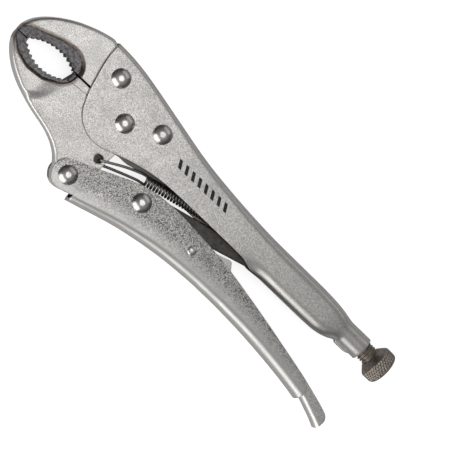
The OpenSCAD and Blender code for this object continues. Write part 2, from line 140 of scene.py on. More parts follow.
def spline_rows(rows, xs):
    """Values of a table of rows [x, a, b, ...] at each x, smooth between the rows."""
    rows = np.array(rows, float)
    x, y = rows[:, 0], rows[:, 1:]
    slope = np.zeros_like(y)
    d = np.diff(y, axis=0) / np.diff(x)[:, None]
    slope[1:-1] = np.where(d[:-1] * d[1:] > 0, 2 * d[:-1] * d[1:] / (d[:-1] + d[1:] + 1e-12), 0)
    slope[0], slope[-1] = d[0], d[-1]
    i = np.clip(np.searchsorted(x, xs) - 1, 0, len(x) - 2)
    h = (x[i + 1] - x[i])[:, None]
    t = ((xs - x[i]) / h[:, 0])[:, None]
    h00, h10 = 2 * t**3 - 3 * t**2 + 1, t**3 - 2 * t**2 + t
    h01, h11 = -2 * t**3 + 3 * t**2, t**3 - t**2
    return h00 * y[i] + h10 * h * slope[i] + h01 * y[i + 1] + h11 * h * slope[i + 1]


def smooth_min(a, b, k):
    """The smaller of two values, with the change between them rounded."""
    h = np.clip(0.5 + 0.5 * (b - a) / k, 0, 1)
    return b * (1 - h) + a * h - k * h * (1 - h)


def ease(x, a, b):
    """0 below a and 1 above b, with a smooth change between them."""
    t = np.clip((x - a) / (b - a), 0, 1)
    return t * t * (3 - 2 * t)


def circle_loop(at, radius, count):
    a = np.linspace(0, math.tau, count, endpoint=False)
    return np.stack([at[0] + radius * np.cos(a), at[1] + radius * np.sin(a)], 1)


def arc_points(centre, radius, start, end, count):
    a = np.radians(np.linspace(start, end, count))
    return np.stack([centre[0] + radius * np.cos(a), centre[1] + radius * np.sin(a)], 1)


# ---- meshes


def placed(name, data):
    """A new object in the scene."""
    obj = bpy.data.objects.new(name, data)
    bpy.context.scene.collection.objects.link(obj)
    return obj


def piece(name, verts, faces, body, nodes, look, sharp=35.0):
    """A mesh piece from millimetre points around the mid-plane, riding on a CAD body."""
    mesh = bpy.data.meshes.new(name)
    pts = np.array(verts, float)
    pts[:, 2] += MID_Z
    mesh.from_pydata((pts * MM).tolist(), [], [list(map(int, f)) for f in faces])
    mesh.validate()
    mesh.shade_smooth()
    mesh.set_sharp_from_angle(angle=math.radians(sharp))
    mesh.materials.append(look)
    obj = placed(name, mesh)
    if body:
        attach(obj, body)
    if nodes:
        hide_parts(*nodes)
    return obj


def store(obj, name, values):
    """Keeps a number for each point of a piece, for its material."""
    obj.data.attributes.new(name, "FLOAT", "POINT").data.foreach_set("value", values.astype(np.float32))


BEVEL_SEGMENTS, BEVEL_ANGLE, CREASE_ANGLE = 3, math.radians(45), math.radians(50)


def apply_bevel(obj, width):
    """Rounds a piece's sharp edges and keeps the result as its mesh."""
    mod = obj.modifiers.new("edges", "BEVEL")
    mod.width = width * MM
    mod.segments = BEVEL_SEGMENTS
    mod.limit_method = "ANGLE"
    mod.angle_limit = BEVEL_ANGLE
    mod.use_clamp_overlap = True
    evaluated = obj.evaluated_get(bpy.context.evaluated_depsgraph_get())
    mesh = bpy.data.meshes.new_from_object(evaluated)
    old = obj.data
    obj.modifiers.clear()
    obj.data = mesh
    bpy.data.meshes.remove(old)
    mesh.shade_smooth()
    mesh.set_sharp_from_angle(angle=CREASE_ANGLE)


def ring_faces(rings, around):
    """Quads between neighbouring rings of points."""
    faces = []
    for i in range(rings - 1):
        for j in range(around):
            a, b = i * around + j, i * around + (j + 1) % around
            faces.append([a, b, b + around, a + around])
    return faces


def ring_solid(rings, first, last):
    """A closed solid over rings of points, with one more point closing each end."""
    count, around = rings.shape[:2]
    n = count * around
    faces = ring_faces(count, around)
    faces += [[n, (k + 1) % around, k] for k in range(around)]
    faces += [[n + 1, n - around + k, n - around + (k + 1) % around] for k in range(around)]
    return np.concatenate([rings.reshape(-1, 3), [first, last]]), faces


def shell_faces(side, n):
    """The faces of a closed shell: one side's, the other side's n points later, and the rim's between them."""
    directed = [pair for f in side for pair in zip(f, f[1:] + f[:1])]
    known = set(directed)
    rim = [[b, a, a + n, b + n] for a, b in directed if (b, a) not in known]
    return side + [[v + n for v in f[::-1]] for f in side] + rim


def thick_sheet(outer, inner, quads):
    """A closed shell from matching outer and inner points and the outer side's quads."""
    faces = shell_faces(quads, len(outer))
    keep = sorted({v for f in faces for v in f})
    index = {v: i for i, v in enumerate(keep)}
    return np.concatenate([outer, inner])[keep], [[index[v] for v in f] for f in faces]


def coons(top, bottom, front, rear, vs):
    """A plane patch between four boundary paths, with rows at vs from the top path to the bottom one."""
    nu = len(top)
    us = np.linspace(0, 1, nu)[:, None, None]
    v = np.array(vs)[None, :, None]
    patch = (1 - v) * top[:, None] + v * bottom[:, None] + (1 - us) * front[None] + us * rear[None]
    patch -= (1 - us) * (1 - v) * top[0] + us * (1 - v) * top[-1]
    patch -= (1 - us) * v * bottom[0] + us * v * bottom[-1]
    return patch


def flat_cheek(xy, half):
    """A cheek at z = half over rows of plane points, each point as x, y, z and its normal's y and z."""
    return np.concatenate([xy, np.broadcast_to([half, 0, 1], (*xy.shape[:2], 3))], 2)


def full_sheet(near, web_rows, thickness, web_from=0, far_xy=None):
    """The outer points, inner points and quads of a channel's two cheeks and web.

    near holds the near cheek's rows from the bend to the lip, as flat_cheek does, and web_rows the web's from
    the far bend to the near one. Rows before web_from have no web. far_xy is the far cheek's own shape.
    """
    ni, nc = near.shape[:2]
    far = near * [1, 1, -1, 1, -1]
    if far_xy is not None:
        far[..., :2] = far_xy
    cols = np.concatenate([far[:, ::-1], web_rows[:, 1:-1], near], axis=1)
    ncol = cols.shape[1]
    outer = cols[..., :3]
    normal = np.concatenate([np.zeros((ni, ncol, 1)), cols[..., 3:]], 2)
    inner = outer - normal * np.reshape(thickness, (-1, 1, 1))
    quads = []
    for i in range(ni - 1):
        for j in range(ncol - 1):
            on_web = nc - 1 <= j < ncol - nc
            if i >= web_from or not on_web:
                a = i * ncol + j
                quads.append([a, a + 1, a + 1 + ncol, a + ncol])
    return outer.reshape(-1, 3), inner.reshape(-1, 3), quads


BEND_STEPS, FLAT_STEPS = 8, 6


def web_arc(x, web, half, radius, side):
    """The bends and the flat of a channel's web at x, from the far bend to the near one."""
    flat = half - radius
    turns = [math.radians(90 * k / BEND_STEPS) for k in range(BEND_STEPS + 1)]
    bend = [(web - radius + radius * math.sin(a), flat + radius * math.cos(a), math.sin(a), math.cos(a))
            for a in turns]
    pts = [[x, y, -z, ny, -nz] for y, z, ny, nz in bend]
    pts += [[x, web, flat * (2 * k / FLAT_STEPS - 1), 1, 0] for k in range(1, FLAT_STEPS)]
    pts += [[x, y, z, ny, nz] for y, z, ny, nz in bend[::-1]]
    return np.array(pts) * [1, side, 1, side, 1]


def sheet_piece(name, parts, body, nodes, look, edge=0.45, unshaded=None, web_line=None):
    """A piece of bent sheet with rounded edges; its inner face is marked for painted shade, which also darkens
    its cut edges.

    parts are full_sheet's outer points, inner points and quads. The picker given before web_line chooses
    points left out of the painted shade, whose cut edge stays as bright as the outer face. web_line is the
    web's line in the pliers' plane: each point's height above it is stored for the material's painted light on
    the cheek.
    """
    pts, faces = thick_sheet(*parts)
    obj = piece(name, pts, faces, body, nodes, look)
    # painted shade: the inner points are marked, and the material darkens the inner face and, between both
    # sides, the cut edges
    shade_mark = (np.arange(len(pts)) >= len(pts) - len(pts) // 2).astype(float)
    if unshaded is not None:
        shade_mark[unshaded(pts)] = 0
    store(obj, "inside", shade_mark)
    if web_line is not None:
        store(obj, "rise", pts[:, 1] - np.interp(pts[:, 0], *np.array(web_line, float).T[:2]))
    apply_bevel(obj, edge)


def distance_to(points, path):
    """The distance of each point from a path of straight segments."""
    a, b = np.asarray(path[:-1]), np.asarray(path[1:])
    d = b - a
    out = np.empty(len(points))
    for k in range(0, len(points), 2000):
        p = points[k:k + 2000, None]
        t = np.clip(((p - a) * d).sum(-1) / np.maximum((d * d).sum(-1), 1e-12), 0, 1)
        out[k:k + 2000] = np.linalg.norm(p - (a + t[..., None] * d), axis=-1).min(1)
    return out


def inside(points, loops):
    """Whether each point lies inside the outline and outside its holes."""
    odd = np.zeros(len(points), bool)
    x, y = points[:, :1], points[:, 1:]
    for loop in loops:
        a, b = np.asarray(loop), np.roll(loop, -1, axis=0)
        rise = np.where(a[:, 1] == b[:, 1], 1e-12, b[:, 1] - a[:, 1])
        hit = ((a[:, 1] > y) != (b[:, 1] > y)) & (x < (b[:, 0] - a[:, 0]) * (y - a[:, 1]) / rise + a[:, 0])
        odd ^= hit.sum(1) % 2 == 1
    return odd


def looped(path):
    """A path with its first point repeated at its end."""
    return np.concatenate([path, path[:1]])


def from_loops(points, loops):
    """The distance of each point from the nearest of several closed outlines."""
    return np.min([distance_to(points, looped(loop)) for loop in loops], axis=0)


def offset_rows(path, radius, closed=True):
    """Rows of points on both sides of a path, at the distances where a rounded edge needs them."""
    path = np.asarray(path, float)
    if closed:
        tangent = np.roll(path, -1, axis=0) - np.roll(path, 1, axis=0)
    else:
        tangent = np.gradient(path, axis=0)
    tangent /= np.maximum(np.linalg.norm(tangent, axis=1), 1e-9)[:, None]
    normal = np.stack([-tangent[:, 1], tangent[:, 0]], 1)
    rows = []
    for turn in (15, 32, 50, 70, 90):
        d = radius * (1 - math.cos(math.radians(turn)))
        rows += [path + normal * d, path - normal * d]
    return rows


def round_drop(distance, radius):
    """How far a rounded edge lies below the face, at a distance from the outline."""
    d = np.clip(distance, 0, radius)
    return radius - np.sqrt(np.maximum(radius**2 - (radius - d) ** 2, 0))


def relief_plate(name, loops, height, rows, body, nodes, look, spacing, z0=0.0, mask=None):
    """A closed solid over an outline with holes, from -height(points) to +height(points).

    rows are lines of points where the height bends. Elsewhere the points lie spacing apart.
    """
    loops = [np.asarray(loop, float) for loop in loops]
    low, high = loops[0].min(0), loops[0].max(0)
    gx, gy = np.meshgrid(np.arange(low[0], high[0], spacing), np.arange(low[1], high[1], spacing * 0.87))
    gx = gx + (np.arange(gx.shape[0]) % 2)[:, None] * spacing / 2
    grid = np.stack([gx.ravel(), gy.ravel()], 1)
    grid = grid[(from_loops(grid, loops) > spacing * 0.4) & inside(grid, loops)]
    grid = grid[np.min([distance_to(grid, r) for r in rows], axis=0) > spacing * 0.35]
    extra = np.concatenate(rows)
    extra = extra[inside(extra, loops)]
    extra = extra[from_loops(extra, loops) > 0.015]
    points, edges = [], []
    for loop in loops:
        base = len(points)
        points += [Vector(p) for p in loop.tolist()]
        edges += [(base + i, base + (i + 1) % len(loop)) for i in range(len(loop))]
    points += [Vector(p) for p in extra.tolist() + grid.tolist()]
    verts, _, triangles, _, _, _ = delaunay_2d_cdt(points, edges, [], 0, 1e-5)
    flat = np.array([[v.x, v.y] for v in verts])
    tri = np.array(triangles)
    tri = tri[inside(flat[tri].mean(1), loops)]
    a, b, c = flat[tri[:, 0]], flat[tri[:, 1]], flat[tri[:, 2]]
    turn = (b - a)[:, 0] * (c - a)[:, 1] - (b - a)[:, 1] * (c - a)[:, 0]
    tri, turn = tri[np.abs(turn) > 1e-9], turn[np.abs(turn) > 1e-9]
    tri[turn < 0] = tri[turn < 0][:, ::-1]
    used = np.unique(tri)
    index = np.full(len(flat), -1)
    index[used] = np.arange(len(used))
    flat, tri = flat[used], index[tri]
    h = height(flat)
    pts = np.concatenate([np.column_stack([flat, z0 + h]), np.column_stack([flat, z0 - h])])
    obj = piece(name, pts, shell_faces(tri.tolist(), len(flat)), body, nodes, look)
    if mask is not None:
        store(obj, "band", mask(pts[:, :2]))


def flat_plate(name, outline, holes, half, edge, body, nodes, look, spacing, z0=0.0):
    """A plate of even thickness whose outline has a rounded edge."""
    outline = np.asarray(outline, float)

    def height(p):
        return half - round_drop(distance_to(p, looped(outline)), edge)

    rows = offset_rows(outline, edge)
    relief_plate(name, [outline] + holes, height, rows, body, nodes, look, spacing, z0)


# ---- upper handle

UPPER_BACK = [
    [-28.1, 26.7, 2.6], [-20, 26.4, 2.6], [-10, 25.3, 2.6], [0, 23.5, 2.6], [20, 19.4, 2.8],
    [40, 15.4, 3.2], [50, 13.9, 3.4], [60, 12.8, 3.6], [70, 11.9, 3.9], [80, 11.2, 4.2], [90, 10.7, 4.6],
    [99, 10.5, 5.0], [112, 10.4, 5.0], [128, 10.3, 5.0], [138, 9.9, 5.0], [143, 9.4, 5.2], [147, 8.8, 5.6],
    [150, 8.3, 6.0], [152.5, SCREW_Y + BOSS_R, BOSS_R - 0.02], [BOSS_X1, SCREW_Y + BOSS_R, BOSS_R - 0.02],
]
UPPER_FRONT = [
    [-28.1, 24.1], [-28.1, 20], [-27.4, 15], [-26.3, 10], [-25, 5], [-23.7, 0], [-22, -4.2], [-20, -8.5],
    [-17.5, -11.6], [-15, -13.7],
]
UPPER_EDGE = [
    [-15, -13.7], [-12, -15.3], [-8.5, -16.4], [-5, -16.8], [-1, -16.4], [2, -15.6], [5, -14.5],
    [10, -12.8], [15, -11.2], [20, -9.9], [25, -8.8], [30, -8], [35, -7.5], [45, -7.1], [60, -7], [80, -7],
]
# x, half width, curl start, curl length, curl angle, sheet thickness
UPPER_CURL = [
    [80, HALF_W, -0.5, 6.5, 0.5, SHEET_T], [87, HALF_W, -0.5, 6.6, 3, SHEET_T],
    [91, HALF_W, -0.9, 7.0, 12, SHEET_T], [95, HALF_W, -1.4, 7.9, 32, SHEET_T],
    [99, HALF_W, -1.8, 8.2, 56, SHEET_T], [104, HALF_W, -2.1, 8.4, 72, SHEET_T],
    [112, HALF_W, -2.3, 8.6, 78, SHEET_T], [128, HALF_W, -2.3, 8.6, 78, SHEET_T],
    [138, HALF_W, -2.1, 8.6, 78, SHEET_T], [143, 7.1, -1.4, 8.8, 79, SHEET_T],
    [147, 6.8, -0.2, 9.0, 81, 1.8], [150, 6.45, 1.2, 9.2, 84, 1.5],
    [152.5, BOSS_R, SCREW_Y, BOSS_R * 1.50, 86.0, 1.2],
    [BOSS_X1, BOSS_R, SCREW_Y, BOSS_R * 1.50, 86.0, 1.2],
]
STRAIGHT_ROWS, CURL_ROWS = 12, 12
FAR_DROP = 1.8


def upper_handle_sheet():
    """The fixed handle: flat cheeks in front, cheeks that curl under the link in the rear, then the boss."""
    front_x, curl_x = UPPER_BACK[0][0], UPPER_CURL[0][0]
    nf = 110
    v_split = np.concatenate([np.linspace(0, 0.5, STRAIGHT_ROWS + 1), np.linspace(0.5, 1, CURL_ROWS + 1)[1:]])
    top_x = np.linspace(front_x, curl_x, nf)
    back = spline_rows(UPPER_BACK, top_x)
    top = np.stack([top_x, back[:, 0] - back[:, 1]], 1)
    bottom = along(smooth_path(UPPER_EDGE, 0.8), nf)
    front = along(smooth_path([[front_x, top[0, 1]]] + UPPER_FRONT[1:], 0.8), len(v_split))
    rear_y = np.interp(v_split, [0, 0.5, 1], [top[-1, 1], UPPER_CURL[0][2], UPPER_EDGE[-1][1]])
    rear = np.stack([np.full(len(v_split), curl_x), rear_y], 1)
    flat = coons(top, bottom, front, rear, v_split)
    stretches = ((curl_x, 104, 31), (104, 138, 18), (138, 154, 33), (154, BOSS_X1, 8))
    rear_x = np.unique(np.concatenate([np.linspace(*stretch) for stretch in stretches]))[1:]
    curl = spline_rows(UPPER_CURL, rear_x)
    back2 = spline_rows(UPPER_BACK, rear_x)
    near = flat_cheek(np.concatenate([flat, np.zeros((len(rear_x), len(v_split), 2))]), HALF_W)
    for row, x, (y, bend_r), (h, start, length, angle, _) in zip(near[nf:], rear_x, back2, curl):
        row[:, 0], row[:, 2] = x, h
        row[:STRAIGHT_ROWS + 1, 1] = np.linspace(y - bend_r, start, STRAIGHT_ROWS + 1)
        radius = length / math.radians(angle)
        a = math.radians(angle) * np.arange(CURL_ROWS + 1) / CURL_ROWS
        sin, cos = np.sin(a), np.cos(a)
        row[STRAIGHT_ROWS:, 1:] = np.stack([start - radius * sin, h - radius * (1 - cos), -sin, cos], 1)
    # the far cheek reaches a little lower behind the link
    far_xy = near[..., :2].copy()
    drop = FAR_DROP * ease(top_x, 0, 10) * (1 - ease(top_x, 66, 79))
    far_xy[:nf, :, 1] -= drop[:, None] * v_split[None] ** 2
    half = np.concatenate([np.full(nf, HALF_W), curl[:, 0]])
    thick = np.concatenate([np.full(nf, SHEET_T), curl[:, 4]])
    xs = np.concatenate([top_x, rear_x])
    rows = np.concatenate([back, back2])
    web = np.array([web_arc(x, r[0], h, r[1], 1) for x, r, h in zip(xs, rows, half)])
    parts = full_sheet(near, web, thick, far_xy=far_xy)
    sheet_piece("upper_handle_sheet", parts, "upper_frame", ["upper_handle"], PRINTED_LOOK, 0.65)


def boss_lips():
    """The pinched edges of the sheet under the boss."""
    y = SCREW_Y - BOSS_R
    low = [[160.4, y - 0.1], [159.2, y - 0.75], [156, y - 0.88], [153, y - 0.85], [151.5, y - 0.5]]
    outline = smooth_path([[151.3, y + 0.9], [160.6, y + 0.9]] + low, 0.5, closed=True, corners=(0, 1))
    for name, side in (("near", 1), ("far", -1)):
        flat_plate("boss_lip_" + name, outline, [], 0.85, 0.3, "upper_frame", [], SHEET_LOOK,
                   0.5, side * 1.05)


def spring_lug():
    """The little plate inside the upper handle that holds the spring's rear hook."""
    x, y = SPRING_LUG
    outline = [*arc_points(SPRING_LUG, 2.6, 180, 360, 19), [x + 2.6, y + 11], [x - 2.6, y + 11]]
    flat_plate("spring_lug", outline, [circle_loop(SPRING_LUG, 1.35, 20)], 1.0, 0.3, "upper_frame",
               [], SHEET_LOOK, 0.9)


# ---- lower handle and release lever

# x, the web's outer face, bend radius
LOWER_WEB = [
    [5.6, -46.3, 4.0], [14, -44, 4.2], [22, -41.7, 4.4], [32, -39.1, 4.6], [42, -37.1, 4.8],
    [52, -35.5, 5.0], [62, -34.3, 5.0], [72, -33.6, 5.0], [82, -33.2, 5.0], [92, -33.2, 5.2],
    [102, -33.5, 5.4], [112, -34, 5.6], [122, -34.8, 5.8], [132, -35.8, 5.8], [142, -37, 5.8],
    [152, -38.5, 5.8], [157, -39.3, 5.8],
]
LOWER_EAR = [
    [-9.4, -42.2], [-8, -43.6], [-5.4, -44.8], [-2.6, -44.9], [0, -44.3], [2.3, -43.6], [4.2, -43.0],
    [5.6, -42.3],
]
LOWER_FRONT = [[-9.4, -42.2], [-10.7, -40], [-11.2, -37], [-10.9, -34.4], [-9.9, -32.3], [-8.4, -30.8]]
LOWER_EDGE = [
    [-8.4, -30.8], [-6, -29.6], [0, -27.2], [5, -25], [10, -22.8], [15, -20.5], [20, -18.3], [25, -16.3],
    [30, -14.8], [35, -13.8], [40, -13.2], [47, -12.9], [55, -13.1], [65, -13.7], [75, -14.5], [85, -15.6],
    [95, -17.2], [110, -20], [125, -23], [140, -26.2], [150, -28.6], [153.5, -29.8],
]
LOWER_REAR = [[156.9, -33.5], [156.4, -32.2], [155.4, -31.0], [153.5, -29.8]]
# how far the rear end's edge lies past x = 157 along the bend, from the cheek to the web
LOWER_END = [-0.1, 0.15, 0.2, 0.0, -0.3, -0.6, -0.9, -1.1, -1.2]

LEVER_WEB = [
    [60, -30.2, 2.6], [80, -30.2, 2.8], [95, -30.5, 3.0], [105, -31, 3.2], [115, -31.6, 3.4],
    [125, -32.4, 3.6], [135, -33.4, 3.8], [145, -34.8, 4], [152, -35.9, 4], [157, -37.1, 4],
    [165, -39.9, 4], [174.4, -43.3, 4],
]
LEVER_FRONT = [[60, -27.6], [60.1, -22], [60.5, -18], [61.2, -17.1], [62.5, -16.6]]
LEVER_EDGE = [
    [62.5, -16.6], [74, -15.6], [81.6, -13.2], [84.6, -12.25], [86, -12.5], [88.6, -15.9], [95, -17],
    [110, -19.7], [125, -22.7], [140, -25.9], [150, -28.1], [157.5, -30], [165.5, -32.2], [170.6, -33.8],
]
LEVER_REAR = [[174.4, -39.3], [174.5, -38], [174.2, -36.5], [172.8, -34.9], [170.6, -33.8]]
LEVER_END = [0, 0, 0, -0.1, -0.3, -0.6, -1.0, -1.3, -1.5]
LEVER_NOSE = [[81.4, -13.35], [84.6, -12.3], [86, -12.55], [86.2, -13.4], [85.4, -14.2], [82, -14.7]]
LEVER_HALF_W = HALF_W - SHEET_T - 0.3
LEVER_T = 1.4
CHEEK_ROWS = 18
END_REACH = 6.0


def low_channel(web_rows, ear, front, edge, rear, end, half, thickness, step, corners=()):
    """A channel whose web lies below its two cheeks: the ear's rows come first, and have no web."""
    x0, x1 = web_rows[0][0], rear[0][0]
    ear_path = along(smooth_path(ear, 0.5), 26) if ear else np.zeros((0, 2))
    xs = np.linspace(x0, x1, int((x1 - x0) / step))
    web = spline_rows(web_rows, xs)
    bend_line = np.stack([xs, web[:, 0] + web[:, 1]], 1)
    bend = np.concatenate([ear_path[:-1], bend_line])
    s = lengths(bend)
    free = smooth_path(edge, 0.15, corners=corners)
    t = lengths(free)
    free = np.stack([np.interp(s / s[-1] * t[-1], t, free[:, k]) for k in (0, 1)], 1)
    vs = np.linspace(0, 1, CHEEK_ROWS)
    front_rows, rear_rows = (along(smooth_path(end_path, 0.5), CHEEK_ROWS) for end_path in (front, rear))
    patch = coons(bend, free, front_rows, rear_rows, vs)
    first = len(ear_path) - 1 if ear else 0
    end_shift = np.array(end + end[-1:] * (FLAT_STEPS - 1) + end[::-1]) - end[0]
    rows = []
    for i in range(len(bend)):
        k = max(i - first, 0)
        row = web_arc(xs[k], -web[k, 0], half, web[k, 1], -1)
        row[:, 0] += np.clip((xs[k] - x1) / END_REACH + 1, 0, 1) * end_shift
        rows.append(row)
    return full_sheet(flat_cheek(patch, half), np.array(rows), thickness, first)


def lower_handle_sheet():
    parts = low_channel(LOWER_WEB, LOWER_EAR, LOWER_FRONT, LOWER_EDGE, LOWER_REAR, LOWER_END, HALF_W, SHEET_T,
                        1.0)

    def front_end(p):
        return (p[:, 0] < 6.0) & (p[:, 1] < -43.5)

    sheet_piece("lower_handle_sheet", parts, "lower_handle", ["lower_handle"], GRIP_LOOK, unshaded=front_end,
                web_line=LOWER_WEB)


def release_lever_sheet():
    parts = low_channel(LEVER_WEB, None, LEVER_FRONT, LEVER_EDGE, LEVER_REAR, LEVER_END, LEVER_HALF_W, LEVER_T,
                        0.6, corners=(1, 3, 4, 5))
    sheet_piece("release_lever_sheet", parts, "release_lever", ["release_lever"], SHEET_LOOK, 0.3)
    outline = smooth_path(LEVER_NOSE, 0.4, closed=True, corners=(0, 5))
    flat_plate("release_lever_nose", outline, [], LEVER_HALF_W - LEVER_T + 0.1, 0.2, "release_lever",
               [], SHEET_LOOK, 0.5)


# ---- jaws

HEAD_HALF, JAW_HALF, NOSE_HALF, BAND_HALF, TIP_HALF = 7.1, 5.2, 6.7, 4.6, 4.9
# centre, radius, and the angles of the first and last tooth
UPPER_ARC, LOWER_ARC = ((-45.9, -19.9), 23.7, 63, 132.6), ((-48, 12.5), 20.8, 308, 227.6)
TOOTH_COUNT, TOOTH_DEPTH = 11, 1.1
JAW_TIP_X = box_mm("fixed_jaw")[0][0]
RIM_CIRCLES = [
    ((-41.5, 0.2), 9.0), ((-47, -1.5), 9.6), ((-53, -2.8), 8.9), ((-58.5, -3), 7.4), ((-63, -2.3), 5.2),
]
RIM_CENTRE = (-49.5, -1.5)
RIM_SLOPE = 3.3 / 2.6
EDGE_ROUND, STEP_ROUND, FINE_ROUND = 1.7, 0.35, 0.25
FIXED_BACK = [
    [-69, -2.5], [-68.9, 1.2], [-67.2, 5.8], [-64, 10.1], [-59.9, 13.9], [-55, 17.3], [-50, 20.1],
    [-45, 22.3], [-40, 24.1], [-35, 25.5], [-31, 26.1], [-28.8, 25.4], [-27.2, 24.4],
]
FIXED_TANG = [
    [-27.2, 24.4], [-20, 24.2], [-10, 23.1], [0, 21.3], [10, 19.2], [20, 17.2], [23.6, 15.2], [25, 12],
    [24.6, 6.6], [21.6, 3.3], [16, 2.4], [8.8, 3.9],
]
HEAD_STEP = [[-28.6, 24.9], [-28.5, 20], [-27.8, 15], [-26.7, 10], [-25.4, 5], [-24.5, 1.8]]
LOWER_FLANK = [
    [-12.4, -36.3], [-15.2, -33.6], [-19.5, -30.9], [-24, -29], [-29, -27.6], [-35, -26.3], [-41, -24.7],
    [-47, -22.6], [-53, -20], [-58.5, -16.9], [-63.4, -13.1], [-66.8, -9.3], [-68.7, -5.7], [-69, -2.9],
]
SLIT_TOP, SLIT_LOW, SLIT_FRONT = 1.7, 0.8, -34.0
# the cutter's land lies between this line and the slit: it is ground down, with a groove along the line
LAND_AT, LAND_ANGLE, LAND_LENGTH, LAND_DEPTH = np.array([-34, -3.8]), math.radians(5), 16.0, 0.4
GROOVE_W, GROOVE_DEPTH = 0.45, 0.45
EYE_R, EAR_R, EYE_CLEAR_R = 9.0, 7.9, 9.6
# centre, inner and outer radius of the slope from the movable jaw's nose to its body
RAMP = ((-52.0, -5.0), 16.4, 21.0)


def tooth_row(centre, radius, start, end):
    """Sharp teeth along an arc: the tips lie on it and the valleys a tooth's depth beyond it."""
    out = []
    for i in range(2 * TOOTH_COUNT + 1):
        a = math.radians(start + (end - start) * i / (2 * TOOTH_COUNT))
        r = radius + (i % 2) * TOOTH_DEPTH
        out.append([centre[0] + r * math.cos(a), centre[1] + r * math.sin(a)])
    return smooth_path(out, 0.4, corners=range(len(out)))


def rim_distance(p):
    """How far a point lies outside the rounded outline of the toothed band (negative inside)."""
    best = np.full(len(p), 1e9)
    for (c0, r0), (c1, r1) in zip(RIM_CIRCLES, RIM_CIRCLES[1:] + RIM_CIRCLES[:1]):
        for t in np.linspace(0, 1, 25):
            centre = np.array(c0) * (1 - t) + np.array(c1) * t
            best = np.minimum(best, np.linalg.norm(p - centre, axis=1) - (r0 * (1 - t) + r1 * t))
    return best


def rim_curve(g_of):
    """The closed curve around the mouth on which the distance outside the band is g_of(points)."""
    a = np.linspace(0, math.tau, 150, endpoint=False)
    ray = np.stack([np.cos(a), np.sin(a)], 1)
    near, far = np.zeros(len(a)), np.full(len(a), 28.0)
    for _ in range(22):
        middle = (near + far) / 2
        p = RIM_CENTRE + ray * middle[:, None]
        beyond = rim_distance(p) > g_of(p)
        near, far = np.where(beyond, near, middle), np.where(beyond, middle, far)
    return RIM_CENTRE + ray * near[:, None]


def with_rim(p, face):
    """The jaw's face, sloping down to the toothed band around the mouth."""
    bevel = BAND_HALF + RIM_SLOPE * np.maximum(rim_distance(p), 0)
    return smooth_min(face, bevel, 0.3)


def rim_rows(face):
    """Rows of points along the band's edge and along the line where its slope meets the face."""

    def meet(q):
        return (face(q) - BAND_HALF) / RIM_SLOPE

    rows = [rim_curve(lambda q, o=o: np.full(len(q), o)) for o in (-0.25, 0.0, 0.25)]
    return rows + [rim_curve(lambda q, o=o: meet(q) + o) for o in (-0.3, -0.1, 0.1, 0.35)]


def edge_rows(paths, radius):
    """Rows of points along open paths whose edges are rounded."""
    return [row for path in paths for row in offset_rows(path, radius, closed=False)]


def edge_drop(p, paths, radius):
    """How far rounded edges along the paths lower the face."""
    return sum(round_drop(distance_to(p, path), radius) for path in paths)


def band_mask(p):
    """1 on the hardened toothed band and 0.5 on the brown, heat-tinted edge around it, then 0; 1 also on the
    spring's hole, whose walls get the band's black as painted shade.
    """
    g = rim_distance(p)
    dark = 1 - 0.5 * ease(g, 0.4, 0.8) - 0.5 * ease(g, 1.6, 2.1)
    # painted shade: the spring's hole takes the band's black tone
    hole_shade = np.linalg.norm(p - SPRING_HOLE, axis=1) < SPRING_HOLE_R + 0.05
    return np.where(hole_shade, 1.0, dark)


def slit_end(gap, radius):
    """The angle at which the slit's edge at y = gap meets a circle around the jaws' pivot."""
    return 180 - math.degrees(math.asin(gap / radius))


def forging(node, body, outline, pins, holes, height, rows):
    """One jaw: its outline, rivet holes at pins, other holes, and its surface."""
    outline[:, 0] = np.maximum(outline[:, 0], JAW_TIP_X)
    holes = [circle_loop(pin, RIVET_HOLE_R, 32) for pin in pins] + holes
    relief_plate(node + "_forging", [outline] + holes, height, rows, body, [node], JAW_LOOK,
                 0.8, mask=band_mask)


def fixed_jaw():
    """The upper jaw: a thick head in front of the step, and a thinner tang between the cheeks behind it."""
    back = smooth_path(FIXED_BACK, 0.5)
    tang = smooth_path(FIXED_TANG, 1.0)
    eye = arc_points((0, 0), EYE_CLEAR_R, 24, slit_end(SLIT_TOP, EYE_CLEAR_R), 50)
    slit = along([eye[-1], [SLIT_FRONT - 1, SLIT_TOP]], 40)
    teeth = tooth_row(*UPPER_ARC)
    tip = along([teeth[-1], back[0]], 16)
    outline = np.concatenate([path[:-1] for path in (back, tang, eye, slit, teeth, tip)])[::-1]
    head_step = smooth_path(HEAD_STEP, 0.5)

    def face(p):
        taper = np.interp(p[:, 0], [-70, -38], [TIP_HALF, HEAD_HALF])
        return smooth_min(np.full(len(p), HEAD_HALF), taper, 0.3)

    def height(p):
        h = with_rim(p, face(p)) - edge_drop(p, [back], EDGE_ROUND)
        behind = p[:, 0] > np.interp(p[:, 1], head_step[::-1, 1], head_step[::-1, 0]) + 0.01
        h = h - edge_drop(p, [head_step], STEP_ROUND) * ~behind
        return np.where(behind, JAW_HALF, h - edge_drop(p, [slit, tip, eye], FINE_ROUND))

    rows = edge_rows([back], EDGE_ROUND) + edge_rows([slit, tip], FINE_ROUND)
    rows += [head_step + [0.02, 0], head_step] + edge_rows([head_step], STEP_ROUND) + rim_rows(face)
    forging("fixed_jaw", "upper_frame", outline, [FRONT_RIVET, REAR_RIVET], [], height, rows)


